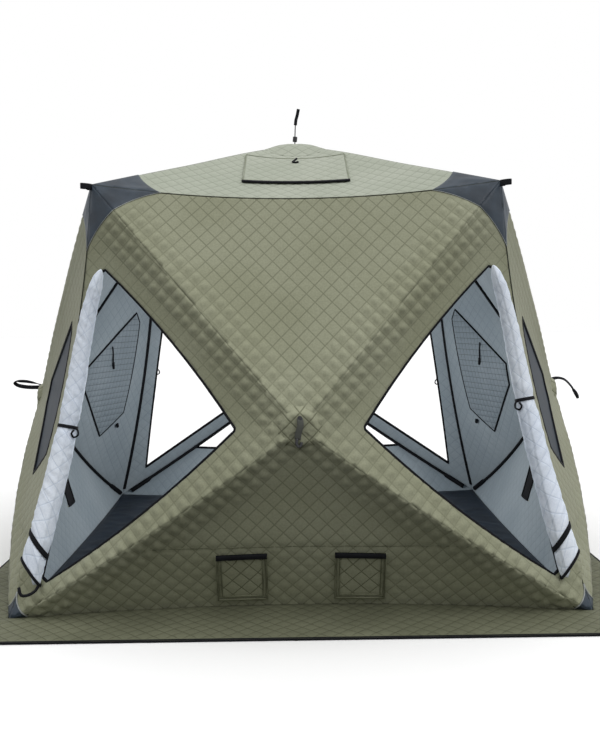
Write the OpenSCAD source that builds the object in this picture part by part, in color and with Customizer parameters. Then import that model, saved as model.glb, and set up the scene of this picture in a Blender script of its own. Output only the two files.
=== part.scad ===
// Pop-up ice fishing hut: a quilted cloth shelter held up by five
// hub-and-strut frames, one in each wall and one in the roof.
// The origin is on the ground at the middle of the hut. The front faces -Y.

/* [Hut] */
// Distance between neighbouring base corners
base_w = 2300; // [1800:10:2600]
// Distance between neighbouring top corners
top_w = 1740; // [1400:10:2000]
// Height of the four top corners
wall_h = 1745; // [1600:5:1900]
// Height of the roof hub
roof_h = 2055; // [1950:5:2200]
// How far each wall hub stands out past the base line
hub_out = 190; // [100:5:260]

/* [Tension] */
// Outward bow of a wall's upper struts at their middle
upper_strut_bow = 14; // [5:1:60]
// Outward bow of a wall's lower struts at their middle
strut_bow = 50; // [20:5:80]
// Downward sag of a lower strut at its middle
strut_droop = 20; // [0:5:40]
// Upward bow of a roof strut
roof_bow = 6; // [0:2:30]
// Inward pull of an upright corner seam at its middle, along X and along Y
corner_tuck = 50; // [20:5:80]
// Inward and downward pull of an eave seam at its middle
eave_tuck = 60; // [20:5:100]
// Inward pull of the front and back ground seams
door_hem_tuck = 120; // [60:10:140]
// Inward pull of the side ground seams
side_hem_tuck = 20; // [10:5:60]

/* [Cloth] */
// Thickness of the quilted cloth
cloth_t = 8; // [6:1:12]
// Thickness of a sewn-on patch
patch_t = 2; // [1:0.5:3]
// How far the snow skirt reaches past the base corners
skirt_reach = 260; // [150:10:300]
// Thickness of the floor cloth
floor_t = 6; // [4:1:8]

/* [Doors and windows] */
// Distance of a front door's jamb edge from the line between the corners
jamb_w = 100; // [80:5:120]
// Distance of the back doorway's jamb edge from the line between the corners
back_jamb_w = 125; // [100:5:140]
// Distance of a door's upper edge from the upper strut, at its ends
upper_band = 190; // [150:5:210]
// Distance of a door's lower edge from the lower strut, at the hub
lower_band_hub = 142; // [110:2:160]
// Distance of a door's lower edge from the lower strut, at the foot
lower_band_foot = 24; // [20:2:60]
// Place of the tie on the right-hand rolled door, as a share down it
right_tie = 0.47; // [0.3:0.01:0.7]
// Place of the tie on the left-hand rolled door, as a share down it
left_tie = 0.54; // [0.3:0.01:0.7]
// Outward bow of a door's sloping edges
door_bow = 24; // [0:2:30]
// Width of the sleeve on the back wall's lower struts
sleeve_w = 62; // [50:2:80]
// Height of the cloth left below the wide back doorway
back_sill = 285; // [240:5:330]
// Size of a window, as a share of the flap that closes it from inside
window_share = 0.91; // [0.85:0.01:0.95]
// Radius of a rolled door at its top end
roll_r_top = 26; // [20:1:32]
// Radius of a rolled door at its bottom end
roll_r_low = 46; // [36:1:50]

/* [Frame] */
// Diameter of a strut
strut_d = 12; // [9:0.5:14]
// Radius of a hub
hub_r = 52; // [45:1:60]
// Depth of a hub
hub_deep = 38; // [30:1:48]

/* [Trim] */
// Width of a vent
vent_w = 195; // [150:5:220]
// Height of a vent
vent_h = 206; // [150:2:220]
// Distance of a vent from the middle of its wall
vent_x = 235; // [180:5:260]
// Width of the roof vent flap
roof_flap_w = 480; // [400:10:520]
// Length of the roof vent flap down the slope
roof_flap_l = 340; // [300:10:420]
// Width of the pull straps
strap_w = 25; // [20:1:30]
// Thickness of the pull straps
strap_t = 3; // [2:0.5:4]

/* [Hidden] */

half_b = base_w / 2;
half_t = top_w / 2;
// Struts of one wall are all the same length, and that sets the hub's height.
hub_z = (pow(half_t, 2) + pow(hub_out + half_b - half_t, 2) + pow(wall_h, 2)
    - pow(half_b, 2) - pow(hub_out, 2)) / (2 * wall_h);
// Rings of points from hub to seam, and columns along a seam
rows = 5;
cols = 10;
// The cloth starts this far along a strut, at the rim of the hub
hub_gap = 0.03;
// Turn of each wall about Z, from the front wall's place
FRONT = 0;
RIGHT = 90;
BACK = 180;
LEFT = 270;
// Cut prisms run from well outside a wall to well inside it
cut_y = [-2 * base_w, 0];

olive = "#8e8e78";
roof_olive = "#a3aa94";
lining = "#8a9298";
navy = "#39424b";
black = "#1b1d1f";
pane = "#3a444d";

// ---- Geometry of a quarter panel -------------------------------------
// A quarter is stretched from a hub to one seam, between two struts.
// Its data are [hub, hub inward, start tip, start inward, end tip, end inward,
// seam pull, start strut bow, end strut bow].

function mix(a, b, k) = a + (b - a) * k;
function top_tip(side) = [side * half_t, -half_t, wall_h];
function base_tip(side) = [side * half_b, -half_b, 0];
function top_in(side) = [-side, 1, -1];
function base_in(side) = [-side, 1, 0];

wall_hub = [0, -half_b - hub_out, hub_z];
wall_in = [0, 1, 0];
upper_bow = [0, -upper_strut_bow, 0];
lower_bow = [0, -strut_bow, -strut_droop];

function upper_q() = [wall_hub, wall_in, top_tip(-1), top_in(-1), top_tip(1), top_in(1),
    [0, eave_tuck, -eave_tuck], upper_bow, upper_bow];
function right_q() = [wall_hub, wall_in, top_tip(1), top_in(1), base_tip(1), base_in(1),
    [-corner_tuck, corner_tuck, 0], upper_bow, lower_bow];
function lower_q(tuck) = [wall_hub, wall_in, base_tip(1), base_in(1), base_tip(-1), base_in(-1),
    [0, tuck, 0], lower_bow, lower_bow];
function left_q() = [wall_hub, wall_in, base_tip(-1), base_in(-1), top_tip(-1), top_in(-1),
    [corner_tuck, corner_tuck, 0], lower_bow, upper_bow];
function roof_q() = [[0, 0, roof_h], [0, 0, -1], top_tip(1), top_in(1), top_tip(-1), top_in(-1),
    [0, eave_tuck, -eave_tuck], [0, 0, roof_bow], [0, 0, roof_bow]];

// Point of a quarter at s along its seam and t from hub to seam
function skin(q, s, t) =
    let (seam = mix(q[2], q[4], s) + 4 * s * (1 - s) * q[6])
    mix(q[0], seam, t) + 4 * t * (1 - t) * (q[7] * pow(1 - s, 3) + q[8] * pow(s, 3));
// Direction into the hut there, so that neighbouring quarters meet face to face
function inward(q, s, t) = mix(q[1], mix(q[3], q[5], s), t);
function layer(q, s, t, depth) = skin(q, s, t) + inward(q, s, t) * depth;

// Closed sheet over part of a quarter, between two depths below its skin
module sheet(q, near, far, s0 = 0, s1 = 1, t0 = hub_gap, t1 = 1, ns = cols, nt = rows) {
    function at(i, j, depth) = layer(q, mix(s0, s1, i / ns), mix(t0, t1, j / nt), depth);
    w = ns + 1;
    n = w * (nt + 1);
    points = [for (d = [near, far]) for (j = [0 : nt]) for (i = [0 : ns]) at(i, j, d)];
    outer = [for (j = [0 : nt - 1]) for (i = [0 : ns - 1])
        let (a = j * w + i) each [[a, a + w, a + w + 1], [a, a + w + 1, a + 1]]];
    inner = [for (f = outer) [f[2] + n, f[1] + n, f[0] + n]];
    ring = concat([for (i = [0 : ns - 1]) i], [for (j = [0 : nt - 1]) j * w + ns],
        [for (i = [ns : -1 : 1]) nt * w + i], [for (j = [nt : -1 : 1]) j * w]);
    rim = [for (k = [0 : len(ring) - 1])
        let (a = ring[k], b = ring[(k + 1) % len(ring)]) each [[a, b, b + n], [a, b + n, a + n]]];
    polyhedron(points, concat(outer, inner, rim), convexity = 6);
}

// Prism through a wall, from an outline in X and Z
module through_wall(outline) {
    rotate([90, 0, 0])
        translate([0, 0, -cut_y[1]])
            linear_extrude(cut_y[1] - cut_y[0]) polygon(outline);
}

// Flat X and Z of a point
function xz(p) = [p[0], p[2]];
function unit(v) = v / norm(v);

// Where the line a-b, moved sideways by k to its right, meets the line c-d moved by m
function crossing(a, b, k, c, d, m) =
    let (u = unit(b - a), v = unit(d - c),
        p = a + k * [u[1], -u[0]], r = c + m * [v[1], -v[0]],
        den = u[0] * v[1] - u[1] * v[0],
        w = r - p)
    p + u * (w[0] * v[1] - w[1] * v[0]) / den;

// Three corners of the space left in a right-hand quarter, inside its bands. The lower band
// narrows from lower[0] at the hub to lower[1] at the foot.
function quarter_space(upper, seam, lower) =
    let (h = xz(wall_hub), t = xz(top_tip(1)), b = xz(base_tip(1)),
        u = unit(h - b), n = [u[1], -u[0]],
        at_hub = h + n * lower[0], at_foot = b + n * lower[1])
    [crossing(h, t, upper, t, b, seam), crossing(t, b, seam, at_foot, at_hub, 0),
        crossing(at_foot, at_hub, 0, h, t, upper)];

function flipped(outline) = [for (p = outline) [-p[0], p[1]]];

// ---- Outlines ----------------------------------------------------------

// Outline of a space with its three points cut off and its sides bowed outward
function bowed_outline(c, cuts, bows) = [for (i = [0 : 2])
    let (j = (i + 1) % 3, u = unit(c[j] - c[i]), n = [-u[1], u[0]],
        a = c[i] + u * cuts[i], b = c[j] - u * cuts[j])
    each [for (k = [0 : 0.25 : 1]) mix(a, b, k) + n * bows[i] * 4 * k * (1 - k)]];

door_cuts = [30, 40, 8];
door_outline = bowed_outline(
    quarter_space(upper_band, jamb_w, [lower_band_hub, lower_band_foot]), door_cuts,
    [0, door_bow, door_bow]);

// A flap's corners, as shares down the upright seam and out from the hub
flap_corners = [[0.27, 0.84], [0.32, 0.88], [0.69, 0.83], [0.83, 0.64], [0.56, 0.38], [0.38, 0.38]];
flap_outline = [for (p = flap_corners) xz(skin(right_q(), p[0], p[1]))];
function centre(ps) = [for (p = ps) 1] * ps / len(ps);
window_outline = [for (p = flap_outline) mix(centre(flap_outline), p, window_share)];

// The wide back doorway: one tall space from the sill to the upper struts
back_corners = quarter_space(upper_band, back_jamb_w, [0, 0]);
sill_drop = 60; // at the jamb
sill_slope = 170; // length of the sill that slopes down to the jamb
back_foot = back_corners[0] + (back_corners[1] - back_corners[0])
    * (back_corners[0][1] - back_sill + sill_drop) / (back_corners[0][1] - back_corners[1][1]);
back_door_outline = [
    back_corners[0],
    back_foot,
    [back_foot[0] - sill_slope, back_sill],
    [0, back_sill],
    [0, back_corners[2][1]],
    back_corners[2]
];

// ---- Walls ---------------------------------------------------------------

module upper_panel() { sheet(upper_q(), 0, cloth_t); }
module lower_panel(tuck) { sheet(lower_q(tuck), 0, cloth_t); }
module right_panel() { sheet(right_q(), 0, cloth_t); }
module left_panel() { sheet(left_q(), 0, cloth_t); }
module roof_panel() { sheet(roof_q(), 0, cloth_t); }

module right_door_surround() {
    difference() {
        right_panel();
        through_wall(door_outline);
    }
}

module left_door_surround() {
    difference() {
        left_panel();
        through_wall(flipped(door_outline));
    }
}

module right_window_panel() {
    difference() {
        right_panel();
        through_wall(window_outline);
    }
}

module left_window_panel() {
    difference() {
        left_panel();
        through_wall(flipped(window_outline));
    }
}

// Window film, set in the thickness of the cloth
module window_film(q, outline) {
    intersection() {
        sheet(q, 3, 5);
        through_wall(outline);
    }
}

// Quilted flap that closes a window from inside
module window_flap(q, outline) {
    intersection() {
        sheet(q, cloth_t, cloth_t + 5);
        through_wall(outline);
    }
}

module wall_windows() {
    window_film(right_q(), window_outline);
    window_film(left_q(), flipped(window_outline));
}

module wall_window_flaps() {
    window_flap(right_q(), flap_outline);
    window_flap(left_q(), flipped(flap_outline));
}

// Lower panel of the back wall, cut down to a sill
module sill_panel() {
    intersection() {
        lower_panel(door_hem_tuck);
        through_wall([[-half_b, 0], [half_b, 0], [half_b, back_sill], [-half_b, back_sill]]);
    }
}

// Back quarter beside the wide doorway: upper band, jamb and strut sleeve
function sleeve_outline() =
    let (h = xz(wall_hub), b = xz(base_tip(1)), u = unit(b - h), up = [-u[1], u[0]])
    [h - up * sleeve_w, h + up * sleeve_w, b + up * sleeve_w, b - up * sleeve_w];

module wide_door_surround(q, outline, sleeve) {
    difference() {
        sheet(q, 0, cloth_t);
        difference() {
            through_wall(outline);
            through_wall(sleeve);
        }
    }
}

// ---- Rolled doors ----------------------------------------------------------

// Tube swept along points, with one radius per point
module tube(path, radii, sides = 8) {
    n = len(path);
    function dir(i) = unit(path[min(i + 1, n - 1)] - path[max(i - 1, 0)]);
    function across(i) = unit(cross(dir(i), [0, 1, 0.01]));
    points = [for (i = [0 : n - 1]) for (k = [0 : sides - 1])
        let (a = across(i), b = cross(dir(i), a), g = 360 * k / sides)
        path[i] + radii[i] * (a * cos(g) + b * sin(g))];
    wall = [for (i = [0 : n - 2]) for (k = [0 : sides - 1])
        let (p = i * sides + k, r = i * sides + (k + 1) % sides)
        each [[p, r + sides, r], [p, p + sides, r + sides]]];
    ends = [[for (k = [0 : sides - 1]) k], [for (k = [sides - 1 : -1 : 0]) (n - 1) * sides + k]];
    polyhedron(points, concat(wall, ends), convexity = 4);
}

roll_s0 = 0.175; // along the upright seam from its top
roll_s1 = 0.915;
roll_rings = 10;
roll_t = 0.955; // beside the seam, over the jamb
roll_t_top = 0.915; // its upper end turns in to the doorway's top corner
roll_turn = 0.3; // share of the roll that turns in
roll_clear = 3;
function roll_r(k) = mix(roll_r_top, roll_r_low, pow(k, 0.8));
function roll_t_at(k) = mix(roll_t_top, roll_t, 1 - pow(1 - min(1, k / roll_turn), 2));
function roll_point(k) = skin(right_q(), mix(roll_s0, roll_s1, k), roll_t_at(k))
    - [0, (roll_r(k) + roll_clear), 0];

module door_roll() {
    steps = [for (i = [0 : roll_rings]) i / roll_rings];
    tube([for (k = steps) roll_point(k)], [for (k = steps) roll_r(k)], 10);
}

// Tie strap round a rolled door, at a share down it
module door_tie(at) {
    ks = [at - 0.01, at + 0.01];
    inner_ks = [at - 0.04, at + 0.04];
    difference() {
        tube([for (k = ks) roll_point(k)], [for (k = ks) roll_r(k) + 3], 10);
        tube([for (k = inner_ks) roll_point(k)], [for (k = inner_ks) roll_r(k) + 0.4], 10);
    }
}

// ---- Frames ------------------------------------------------------------------

strut_depth = cloth_t + strut_d / 2 + 1;
strut_end = 0.945;
strut_rings = 8;

module strut(q, s) {
    start = (hub_r - 1) / norm(cross(skin(q, s, 1) - q[0], q[1]));
    steps = [for (i = [0 : strut_rings]) mix(start, strut_end, i / strut_rings)];
    tube([for (t = steps) layer(q, s, t, strut_depth)], [for (t = steps) strut_d / 2]);
}

module wall_frame() {
    strut(upper_q(), 0);
    strut(upper_q(), 1);
    strut(lower_q(door_hem_tuck), 0);
    strut(lower_q(door_hem_tuck), 1);
    translate(wall_hub) rotate([-90, 0, 0]) translate([0, 0, -1]) hub();
}

module hub() {
    cylinder(r = hub_r, h = hub_deep * 0.7, $fn = 32);
    cylinder(r = hub_r * 0.45, h = hub_deep, $fn = 32);
}

module roof_frame_parts() {
    for (turn = [0 : 90 : 270]) rotate(turn) strut(roof_q(), 0);
    translate([0, 0, roof_h + 1]) rotate([180, 0, 0]) hub();
}

// ---- Patches -------------------------------------------------------------------

patch_seam = 290; // along a seam from a top corner
patch_strut = 165; // along a wall strut from a top corner
patch_roof = 250; // along a roof strut from a top corner
foot_seam = 105; // along a seam from a base corner
foot_strut = 70; // along a strut from a base corner
foot_lift = 9; // clear of the ground and the skirt
strut_gap = 0.001; // gap at a strut between two skins, as a share of the seam

// Two skins of one wall corner, from the tip to the seams and the strut
module corner_skin(q, from_start, along_seam, along_strut) {
    s0 = from_start ? strut_gap : 1 - strut_gap;
    tip = skin(q, s0, 1);
    seam_len = norm(q[4] - q[2]);
    strut_len = norm(q[2] - q[0]);
    s1 = from_start ? along_seam / seam_len : 1 - along_seam / seam_len;
    seam_pt = skin(q, s1, 1);
    strut_pt = skin(q, s0, 1 - along_strut / strut_len);
    reach = 1 - 1.3 * max(along_strut, along_seam * 0.5) / strut_len;
    lo = min(s0, s1);
    hi = max(s0, s1);
    out = (tip - (seam_pt + strut_pt) / 2) * 0.3;
    intersection() {
        sheet(q, -patch_t, 0, lo, hi, reach, 1, 4, 3);
        flat_wedge(q, seam_pt, strut_pt, seam_pt + (seam_pt - strut_pt) * 0.2 + out,
            strut_pt + (strut_pt - seam_pt) * 0.2 + out, tip + out);
    }
}

// Prism over the wedge between a seam point, a strut point and the tip
module flat_wedge(q, a, b, a2, b2, tip) {
    if (q[1][2] == 0)
        through_wall([xz(a + (a - b) * 0.2), xz(a2), xz(tip), xz(b2), xz(b + (b - a) * 0.2)]);
    else
        linear_extrude(roof_h * 2)
            polygon([for (p = [a + (a - b) * 0.2, a2, tip, b2, b + (b - a) * 0.2]) [p[0], p[1]]]);
}

module wall_patches(tuck) {
    corner_skin(upper_q(), true, patch_seam, patch_strut);
    corner_skin(left_q(), false, patch_seam, patch_strut);
    corner_skin(upper_q(), false, patch_seam, patch_strut);
    corner_skin(right_q(), true, patch_seam, patch_strut);
    intersection() {
        union() {
            corner_skin(right_q(), false, foot_seam, foot_strut);
            corner_skin(lower_q(tuck), true, foot_seam, foot_strut);
            corner_skin(lower_q(tuck), false, foot_seam, foot_strut);
            corner_skin(left_q(), true, foot_seam, foot_strut);
        }
        translate([-base_w, -base_w, foot_lift]) cube([2 * base_w, base_w, wall_h]);
    }
}

module roof_patches() {
    for (turn = [0 : 90 : 270]) rotate(turn) {
        corner_skin(roof_q(), true, patch_seam, patch_roof);
        corner_skin(roof_q(), false, patch_seam, patch_roof);
    }
}

// ---- Floor and skirt ---------------------------------------------------------------

hem_steps = 8;
// Outline of the ground seams, moved inward by a depth
function hem_side(tuck, depth, turn) = [for (i = [0 : hem_steps - 1])
    let (p = layer(lower_q(tuck), i / hem_steps, 1, depth))
    [p[0] * cos(turn) - p[1] * sin(turn), p[0] * sin(turn) + p[1] * cos(turn)]];
function hem(depth) = concat(hem_side(door_hem_tuck, depth, FRONT), hem_side(side_hem_tuck, depth, LEFT),
    hem_side(door_hem_tuck, depth, BACK), hem_side(side_hem_tuck, depth, RIGHT));

module floor_cloth() {
    linear_extrude(floor_t) polygon(hem(cloth_t + 1));
}

skirt_gap = 4;
module skirt() {
    reach = base_w + 2 * skirt_reach;
    linear_extrude(cloth_t) difference() {
        square(reach, center = true);
        polygon(hem(-skirt_gap));
    }
}

// ---- Trim ----------------------------------------------------------------------------

vent_t = 10;
front_vent_z = 44; // height of a front vent's lower edge
side_vent_z = 190; // height of a side vent's lower edge
// Pocket that stands on the outside of a lower panel
module wall_vent(tuck, x, z) {
    intersection() {
        sheet(lower_q(tuck), -vent_t, 0, 0, 1, 0.4, 1, 16, 5);
        through_wall([[x - vent_w / 2, z], [x + vent_w / 2, z],
            [x + vent_w / 2, z + vent_h], [x - vent_w / 2, z + vent_h]]);
    }
}

flap_foot = 620; // front edge of the roof flap from the middle of the roof
roof_flap_t = 6;
module roof_flap() {
    intersection() {
        sheet(roof_q(), -roof_flap_t, 0, 0, 1, 0.15, 0.95, 16, 4);
        translate([-roof_flap_w / 2, -flap_foot, 0]) cube([roof_flap_w, roof_flap_l, 2 * roof_h]);
    }
}

// Loop of webbing, standing along +Y of its own plane, sewn together at its foot
module webbing_loop(long, wide) {
    translate([0, 0, -strap_w / 2])
        linear_extrude(strap_w)
            difference() {
                offset(r = strap_t, $fn = 16) loop_shape(long, wide);
                loop_shape(long, wide);
            }
}

module loop_shape(long, wide) {
    hull() {
        translate([0, strap_t + 2]) circle(r = 2, $fn = 8);
        translate([0, long - wide / 2 - strap_t]) circle(r = wide / 2, $fn = 16);
    }
}

side_loop = 165;
door_loop = 105;
roof_loop = 195;
strap_rise = 50; // the side straps are sewn on this far above the hub
strap_back = 26; // and the cloth there is this much further in
hook_r = 7;
// Centre line of the strap that droops: out from the wall, and up
droop = [[0, 0], [35, 12], [62, 14], [90, 2], [125, -33], [side_loop * 0.95, -88]];

module drooping_strap() {
    translate([0, 0, -strap_w / 2]) linear_extrude(strap_w)
        for (i = [0 : len(droop) - 2]) hull()
            for (p = [droop[i], droop[i + 1]])
                translate(p) circle(r = i == len(droop) - 2 ? hook_r : strap_t, $fn = 12);
}

module hub_straps() {
    strap_root = half_b + hub_out + 1;
    for (turn = [FRONT, BACK]) rotate(turn)
        translate([0, -strap_root - strap_t - 3, hub_z]) rotate([0, 90, 0]) rotate([0, 0, -90 - 8])
            webbing_loop(door_loop, 12);
    rotate(LEFT) translate([0, strap_back - strap_root, hub_z + strap_rise])
        rotate([0, 90, 0]) rotate([0, 0, 180 - 8]) webbing_loop(side_loop, 34);
    rotate(RIGHT) translate([0, strap_back - strap_root, hub_z + strap_rise])
        rotate([90, 0, -90]) drooping_strap();
    translate([0, 0, roof_h + 1]) rotate([0, 6, 0]) rotate([90, 0, 0]) webbing_loop(roof_loop, 14);
}

guy_loop = 55;
module corner_loops() {
    for (turn = [0 : 90 : 270]) rotate(turn)
        translate([half_t + 1, -half_t - 1, wall_h - 8]) rotate([0, 0, -135]) webbing_loop(guy_loop, 12);
}

// ---- Nodes --------------------------------------------------------------------------

module front_upper_panel() { color(olive) upper_panel(); }
module front_lower_panel() { color(olive) lower_panel(door_hem_tuck); }
module front_left_door_surround() { color(olive) left_door_surround(); }
module front_right_door_surround() { color(olive) right_door_surround(); }
module front_left_door_roll() { color("#dfe4ea") mirror([1, 0, 0]) door_roll(); }
module front_right_door_roll() { color("#dfe4ea") door_roll(); }
module back_upper_panel() { color(olive) rotate(BACK) upper_panel(); }
module back_lower_panel() { color(olive) rotate(BACK) sill_panel(); }
module back_left_door_surround() {
    color(olive) rotate(BACK)
        wide_door_surround(right_q(), back_door_outline, sleeve_outline());
}
module back_right_door_surround() {
    color(olive) rotate(BACK)
        wide_door_surround(left_q(), flipped(back_door_outline), flipped(sleeve_outline()));
}
module back_left_door_roll() { color("#dfe4ea") rotate(BACK) door_roll(); }
module back_right_door_roll() { color("#dfe4ea") rotate(BACK) mirror([1, 0, 0]) door_roll(); }

module left_upper_panel() { color(olive) rotate(LEFT) upper_panel(); }
module left_lower_panel() { color(olive) rotate(LEFT) lower_panel(side_hem_tuck); }
module left_front_panel() { color(olive) rotate(LEFT) right_window_panel(); }
module left_back_panel() { color(olive) rotate(LEFT) left_window_panel(); }
module left_windows() { color(pane) rotate(LEFT) wall_windows(); }
module left_window_flaps() { color(lining) rotate(LEFT) wall_window_flaps(); }

module right_upper_panel() { color(olive) rotate(RIGHT) upper_panel(); }
module right_lower_panel() { color(olive) rotate(RIGHT) lower_panel(side_hem_tuck); }
module right_front_panel() { color(olive) rotate(RIGHT) left_window_panel(); }
module right_back_panel() { color(olive) rotate(RIGHT) right_window_panel(); }
module right_windows() { color(pane) rotate(RIGHT) wall_windows(); }
module right_window_flaps() { color(lining) rotate(RIGHT) wall_window_flaps(); }

module roof_front_panel() { color(roof_olive) roof_panel(); }
module roof_back_panel() { color(roof_olive) rotate(BACK) roof_panel(); }
module roof_left_panel() { color(roof_olive) rotate(LEFT) roof_panel(); }
module roof_right_panel() { color(roof_olive) rotate(RIGHT) roof_panel(); }
module roof_vent_flap() { color(roof_olive) roof_flap(); }

module front_frame() { color(black) rotate(FRONT) wall_frame(); }
module back_frame() { color(black) rotate(BACK) wall_frame(); }
module left_frame() { color(black) rotate(LEFT) wall_frame(); }
module right_frame() { color(black) rotate(RIGHT) wall_frame(); }
module roof_frame() { color(black) roof_frame_parts(); }

module front_corner_patches() { color(navy) wall_patches(door_hem_tuck); }
module back_corner_patches() { color(navy) rotate(BACK) wall_patches(door_hem_tuck); }
module left_corner_patches() { color(navy) rotate(LEFT) wall_patches(side_hem_tuck); }
module right_corner_patches() { color(navy) rotate(RIGHT) wall_patches(side_hem_tuck); }
module roof_corner_patches() { color(navy) roof_patches(); }

module floor() { color("#1e2832") floor_cloth(); }
module snow_skirt() { color("#64664f") skirt(); }
module vents() {
    color(black) {
        for (x = [-vent_x, vent_x]) wall_vent(door_hem_tuck, x, front_vent_z);
        for (turn = [LEFT, RIGHT]) rotate(turn) wall_vent(side_hem_tuck, 0, side_vent_z);
    }
}
module door_ties() {
    color(black) for (turn = [FRONT, BACK]) rotate(turn) {
        door_tie(right_tie);
        mirror([1, 0, 0]) door_tie(left_tie);
    }
}
module pull_straps() { color(black) hub_straps(); }
module guy_loops() { color(black) corner_loops(); }

front_upper_panel();
front_lower_panel();
front_left_door_surround();
front_right_door_surround();
front_left_door_roll();
front_right_door_roll();
back_upper_panel();
back_lower_panel();
back_left_door_surround();
back_right_door_surround();
back_left_door_roll();
back_right_door_roll();
left_upper_panel();
left_lower_panel();
left_front_panel();
left_back_panel();
left_windows();
left_window_flaps();
right_upper_panel();
right_lower_panel();
right_front_panel();
right_back_panel();
right_windows();
right_window_flaps();
roof_front_panel();
roof_back_panel();
roof_left_panel();
roof_right_panel();
roof_vent_flap();
front_frame();
back_frame();
left_frame();
right_frame();
roof_frame();
front_corner_patches();
back_corner_patches();
left_corner_patches();
right_corner_patches();
roof_corner_patches();
floor();
snow_skirt();
vents();
door_ties();
pull_straps();
guy_loops();
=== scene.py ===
import math

import bpy
import numpy as np
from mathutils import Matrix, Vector
from mathutils.geometry import delaunay_2d_cdt


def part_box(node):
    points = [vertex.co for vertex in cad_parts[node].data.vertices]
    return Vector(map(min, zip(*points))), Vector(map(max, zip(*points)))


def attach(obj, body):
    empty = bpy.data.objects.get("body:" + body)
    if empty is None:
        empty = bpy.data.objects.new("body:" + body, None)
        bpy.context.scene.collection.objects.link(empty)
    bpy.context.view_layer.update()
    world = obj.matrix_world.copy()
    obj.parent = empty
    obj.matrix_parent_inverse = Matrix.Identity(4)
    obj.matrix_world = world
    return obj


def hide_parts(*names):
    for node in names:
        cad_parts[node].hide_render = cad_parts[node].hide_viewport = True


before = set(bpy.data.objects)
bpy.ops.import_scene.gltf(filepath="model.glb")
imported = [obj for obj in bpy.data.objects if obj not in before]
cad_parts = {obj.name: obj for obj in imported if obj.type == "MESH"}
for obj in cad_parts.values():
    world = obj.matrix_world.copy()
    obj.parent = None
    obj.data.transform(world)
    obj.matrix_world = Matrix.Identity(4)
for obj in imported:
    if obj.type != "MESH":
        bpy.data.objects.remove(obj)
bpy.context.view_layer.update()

# ---- Driving sizes, in metres ------------------------------------------------

HALF_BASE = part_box("front_lower_panel")[1].x
HALF_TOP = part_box("front_upper_panel")[1].x
EAVE_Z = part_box("front_upper_panel")[1].z
HUB_RIM = 0.001  # a hub's cap stands this far outside the cloth
HUB_OUT = -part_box("front_frame")[0].y - HUB_RIM
ROOF_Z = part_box("roof_frame")[1].z - HUB_RIM
# All struts of a wall are the same length, and that sets the hub's height
HUB_Z = (HALF_TOP ** 2 + (HUB_OUT - HALF_TOP) ** 2 + EAVE_Z ** 2
         - HALF_BASE ** 2 - (HUB_OUT - HALF_BASE) ** 2) / (2 * EAVE_Z)
SKIRT_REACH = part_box("snow_skirt")[1].x
SKIRT_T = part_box("snow_skirt")[1].z
FLOOR_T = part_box("floor")[1].z

UPPER_BOW = 0.014
STRUT_BOW = 0.050
STRUT_DROOP = 0.020
ROOF_BOW = 0.006
ROOF_DOME = 0.0095  # the roof's cloth is drawn up this much round its hub
CORNER_TUCK = 0.050
EAVE_TUCK = 0.060
DOOR_HEM_TUCK = 0.120
SIDE_HEM_TUCK = 0.020
CLOTH = 0.008

QUILT = 0.0485  # distance between parallel stitch lines
STEPS = (0.0, 0.25, 0.5, 0.75)  # where the mesh has points across one quilted square
EDGE_STEP = 0.011  # distance between points along an outline

TURNS = {"front": 0, "right": 1, "back": 2, "left": 3}  # quarter turns from the front
WALL, ROOF = (0, 2), (0, 1)  # the two axes of a panel's flat pattern


# ---- The cloth's shape -----------------------------------------------------------

def tip(side, top):
    return np.array([side * HALF_TOP, -HALF_TOP, EAVE_Z] if top else [side * HALF_BASE, -HALF_BASE, 0.0])


def tip_in(side, top):
    return np.array([-side, 1.0, -1.0] if top else [-side, 1.0, 0.0])


def quarter(kind, hem=DOOR_HEM_TUCK):
    """One stretched quarter of a wall or of the roof: hub, seam ends, seam pull and strut bows."""
    high, low = np.array([0, -UPPER_BOW, 0]), np.array([0, -STRUT_BOW, -STRUT_DROOP])
    ends = {
        "upper": ((-1, True), (1, True), (0, EAVE_TUCK, -EAVE_TUCK), high, high),
        "right": ((1, True), (1, False), (-CORNER_TUCK, CORNER_TUCK, 0), high, low),
        "lower": ((1, False), (-1, False), (0, hem, 0), low, low),
        "left": ((-1, False), (-1, True), (CORNER_TUCK, CORNER_TUCK, 0), low, high),
        "roof": ((1, True), (-1, True), (0, EAVE_TUCK, -EAVE_TUCK), np.array([0, 0, ROOF_BOW]),
                 np.array([0, 0, ROOF_BOW])),
    }[kind]
    on_roof = kind == "roof"
    return {
        "hub": np.array([0, 0, ROOF_Z]) if on_roof else np.array([0, -HUB_OUT, HUB_Z]),
        "hub_in": np.array([0, 0, -1.0]) if on_roof else np.array([0, 1.0, 0]),
        "a": tip(*ends[0]), "a_in": tip_in(*ends[0]),
        "b": tip(*ends[1]), "b_in": tip_in(*ends[1]),
        "pull": np.array(ends[2], float), "bow_a": ends[3], "bow_b": ends[4],
        "flat": list(ROOF if on_roof else WALL), "dome": ROOF_DOME if on_roof else 0.0,
    }


def skin(q, s, t):
    """Points of a quarter at s along its seam and t from hub to seam."""
    s, t = np.broadcast_arrays(np.asarray(s, float), np.asarray(t, float))
    k, m = s[..., None], t[..., None]
    seam = q["a"] + (q["b"] - q["a"]) * k + 4 * k * (1 - k) * q["pull"]
    bow = q["bow_a"] * (1 - k) ** 3 + q["bow_b"] * k ** 3
    points = q["hub"] + (seam - q["hub"]) * m + 4 * m * (1 - m) * bow
    if q["dome"]:
        r = np.linalg.norm(points[..., :2], axis=-1)
        points[..., 2] += q["dome"] * smooth(r, 0.03, 0.25) * (1 - smooth(r, 0.30, 0.75))
    return points


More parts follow.
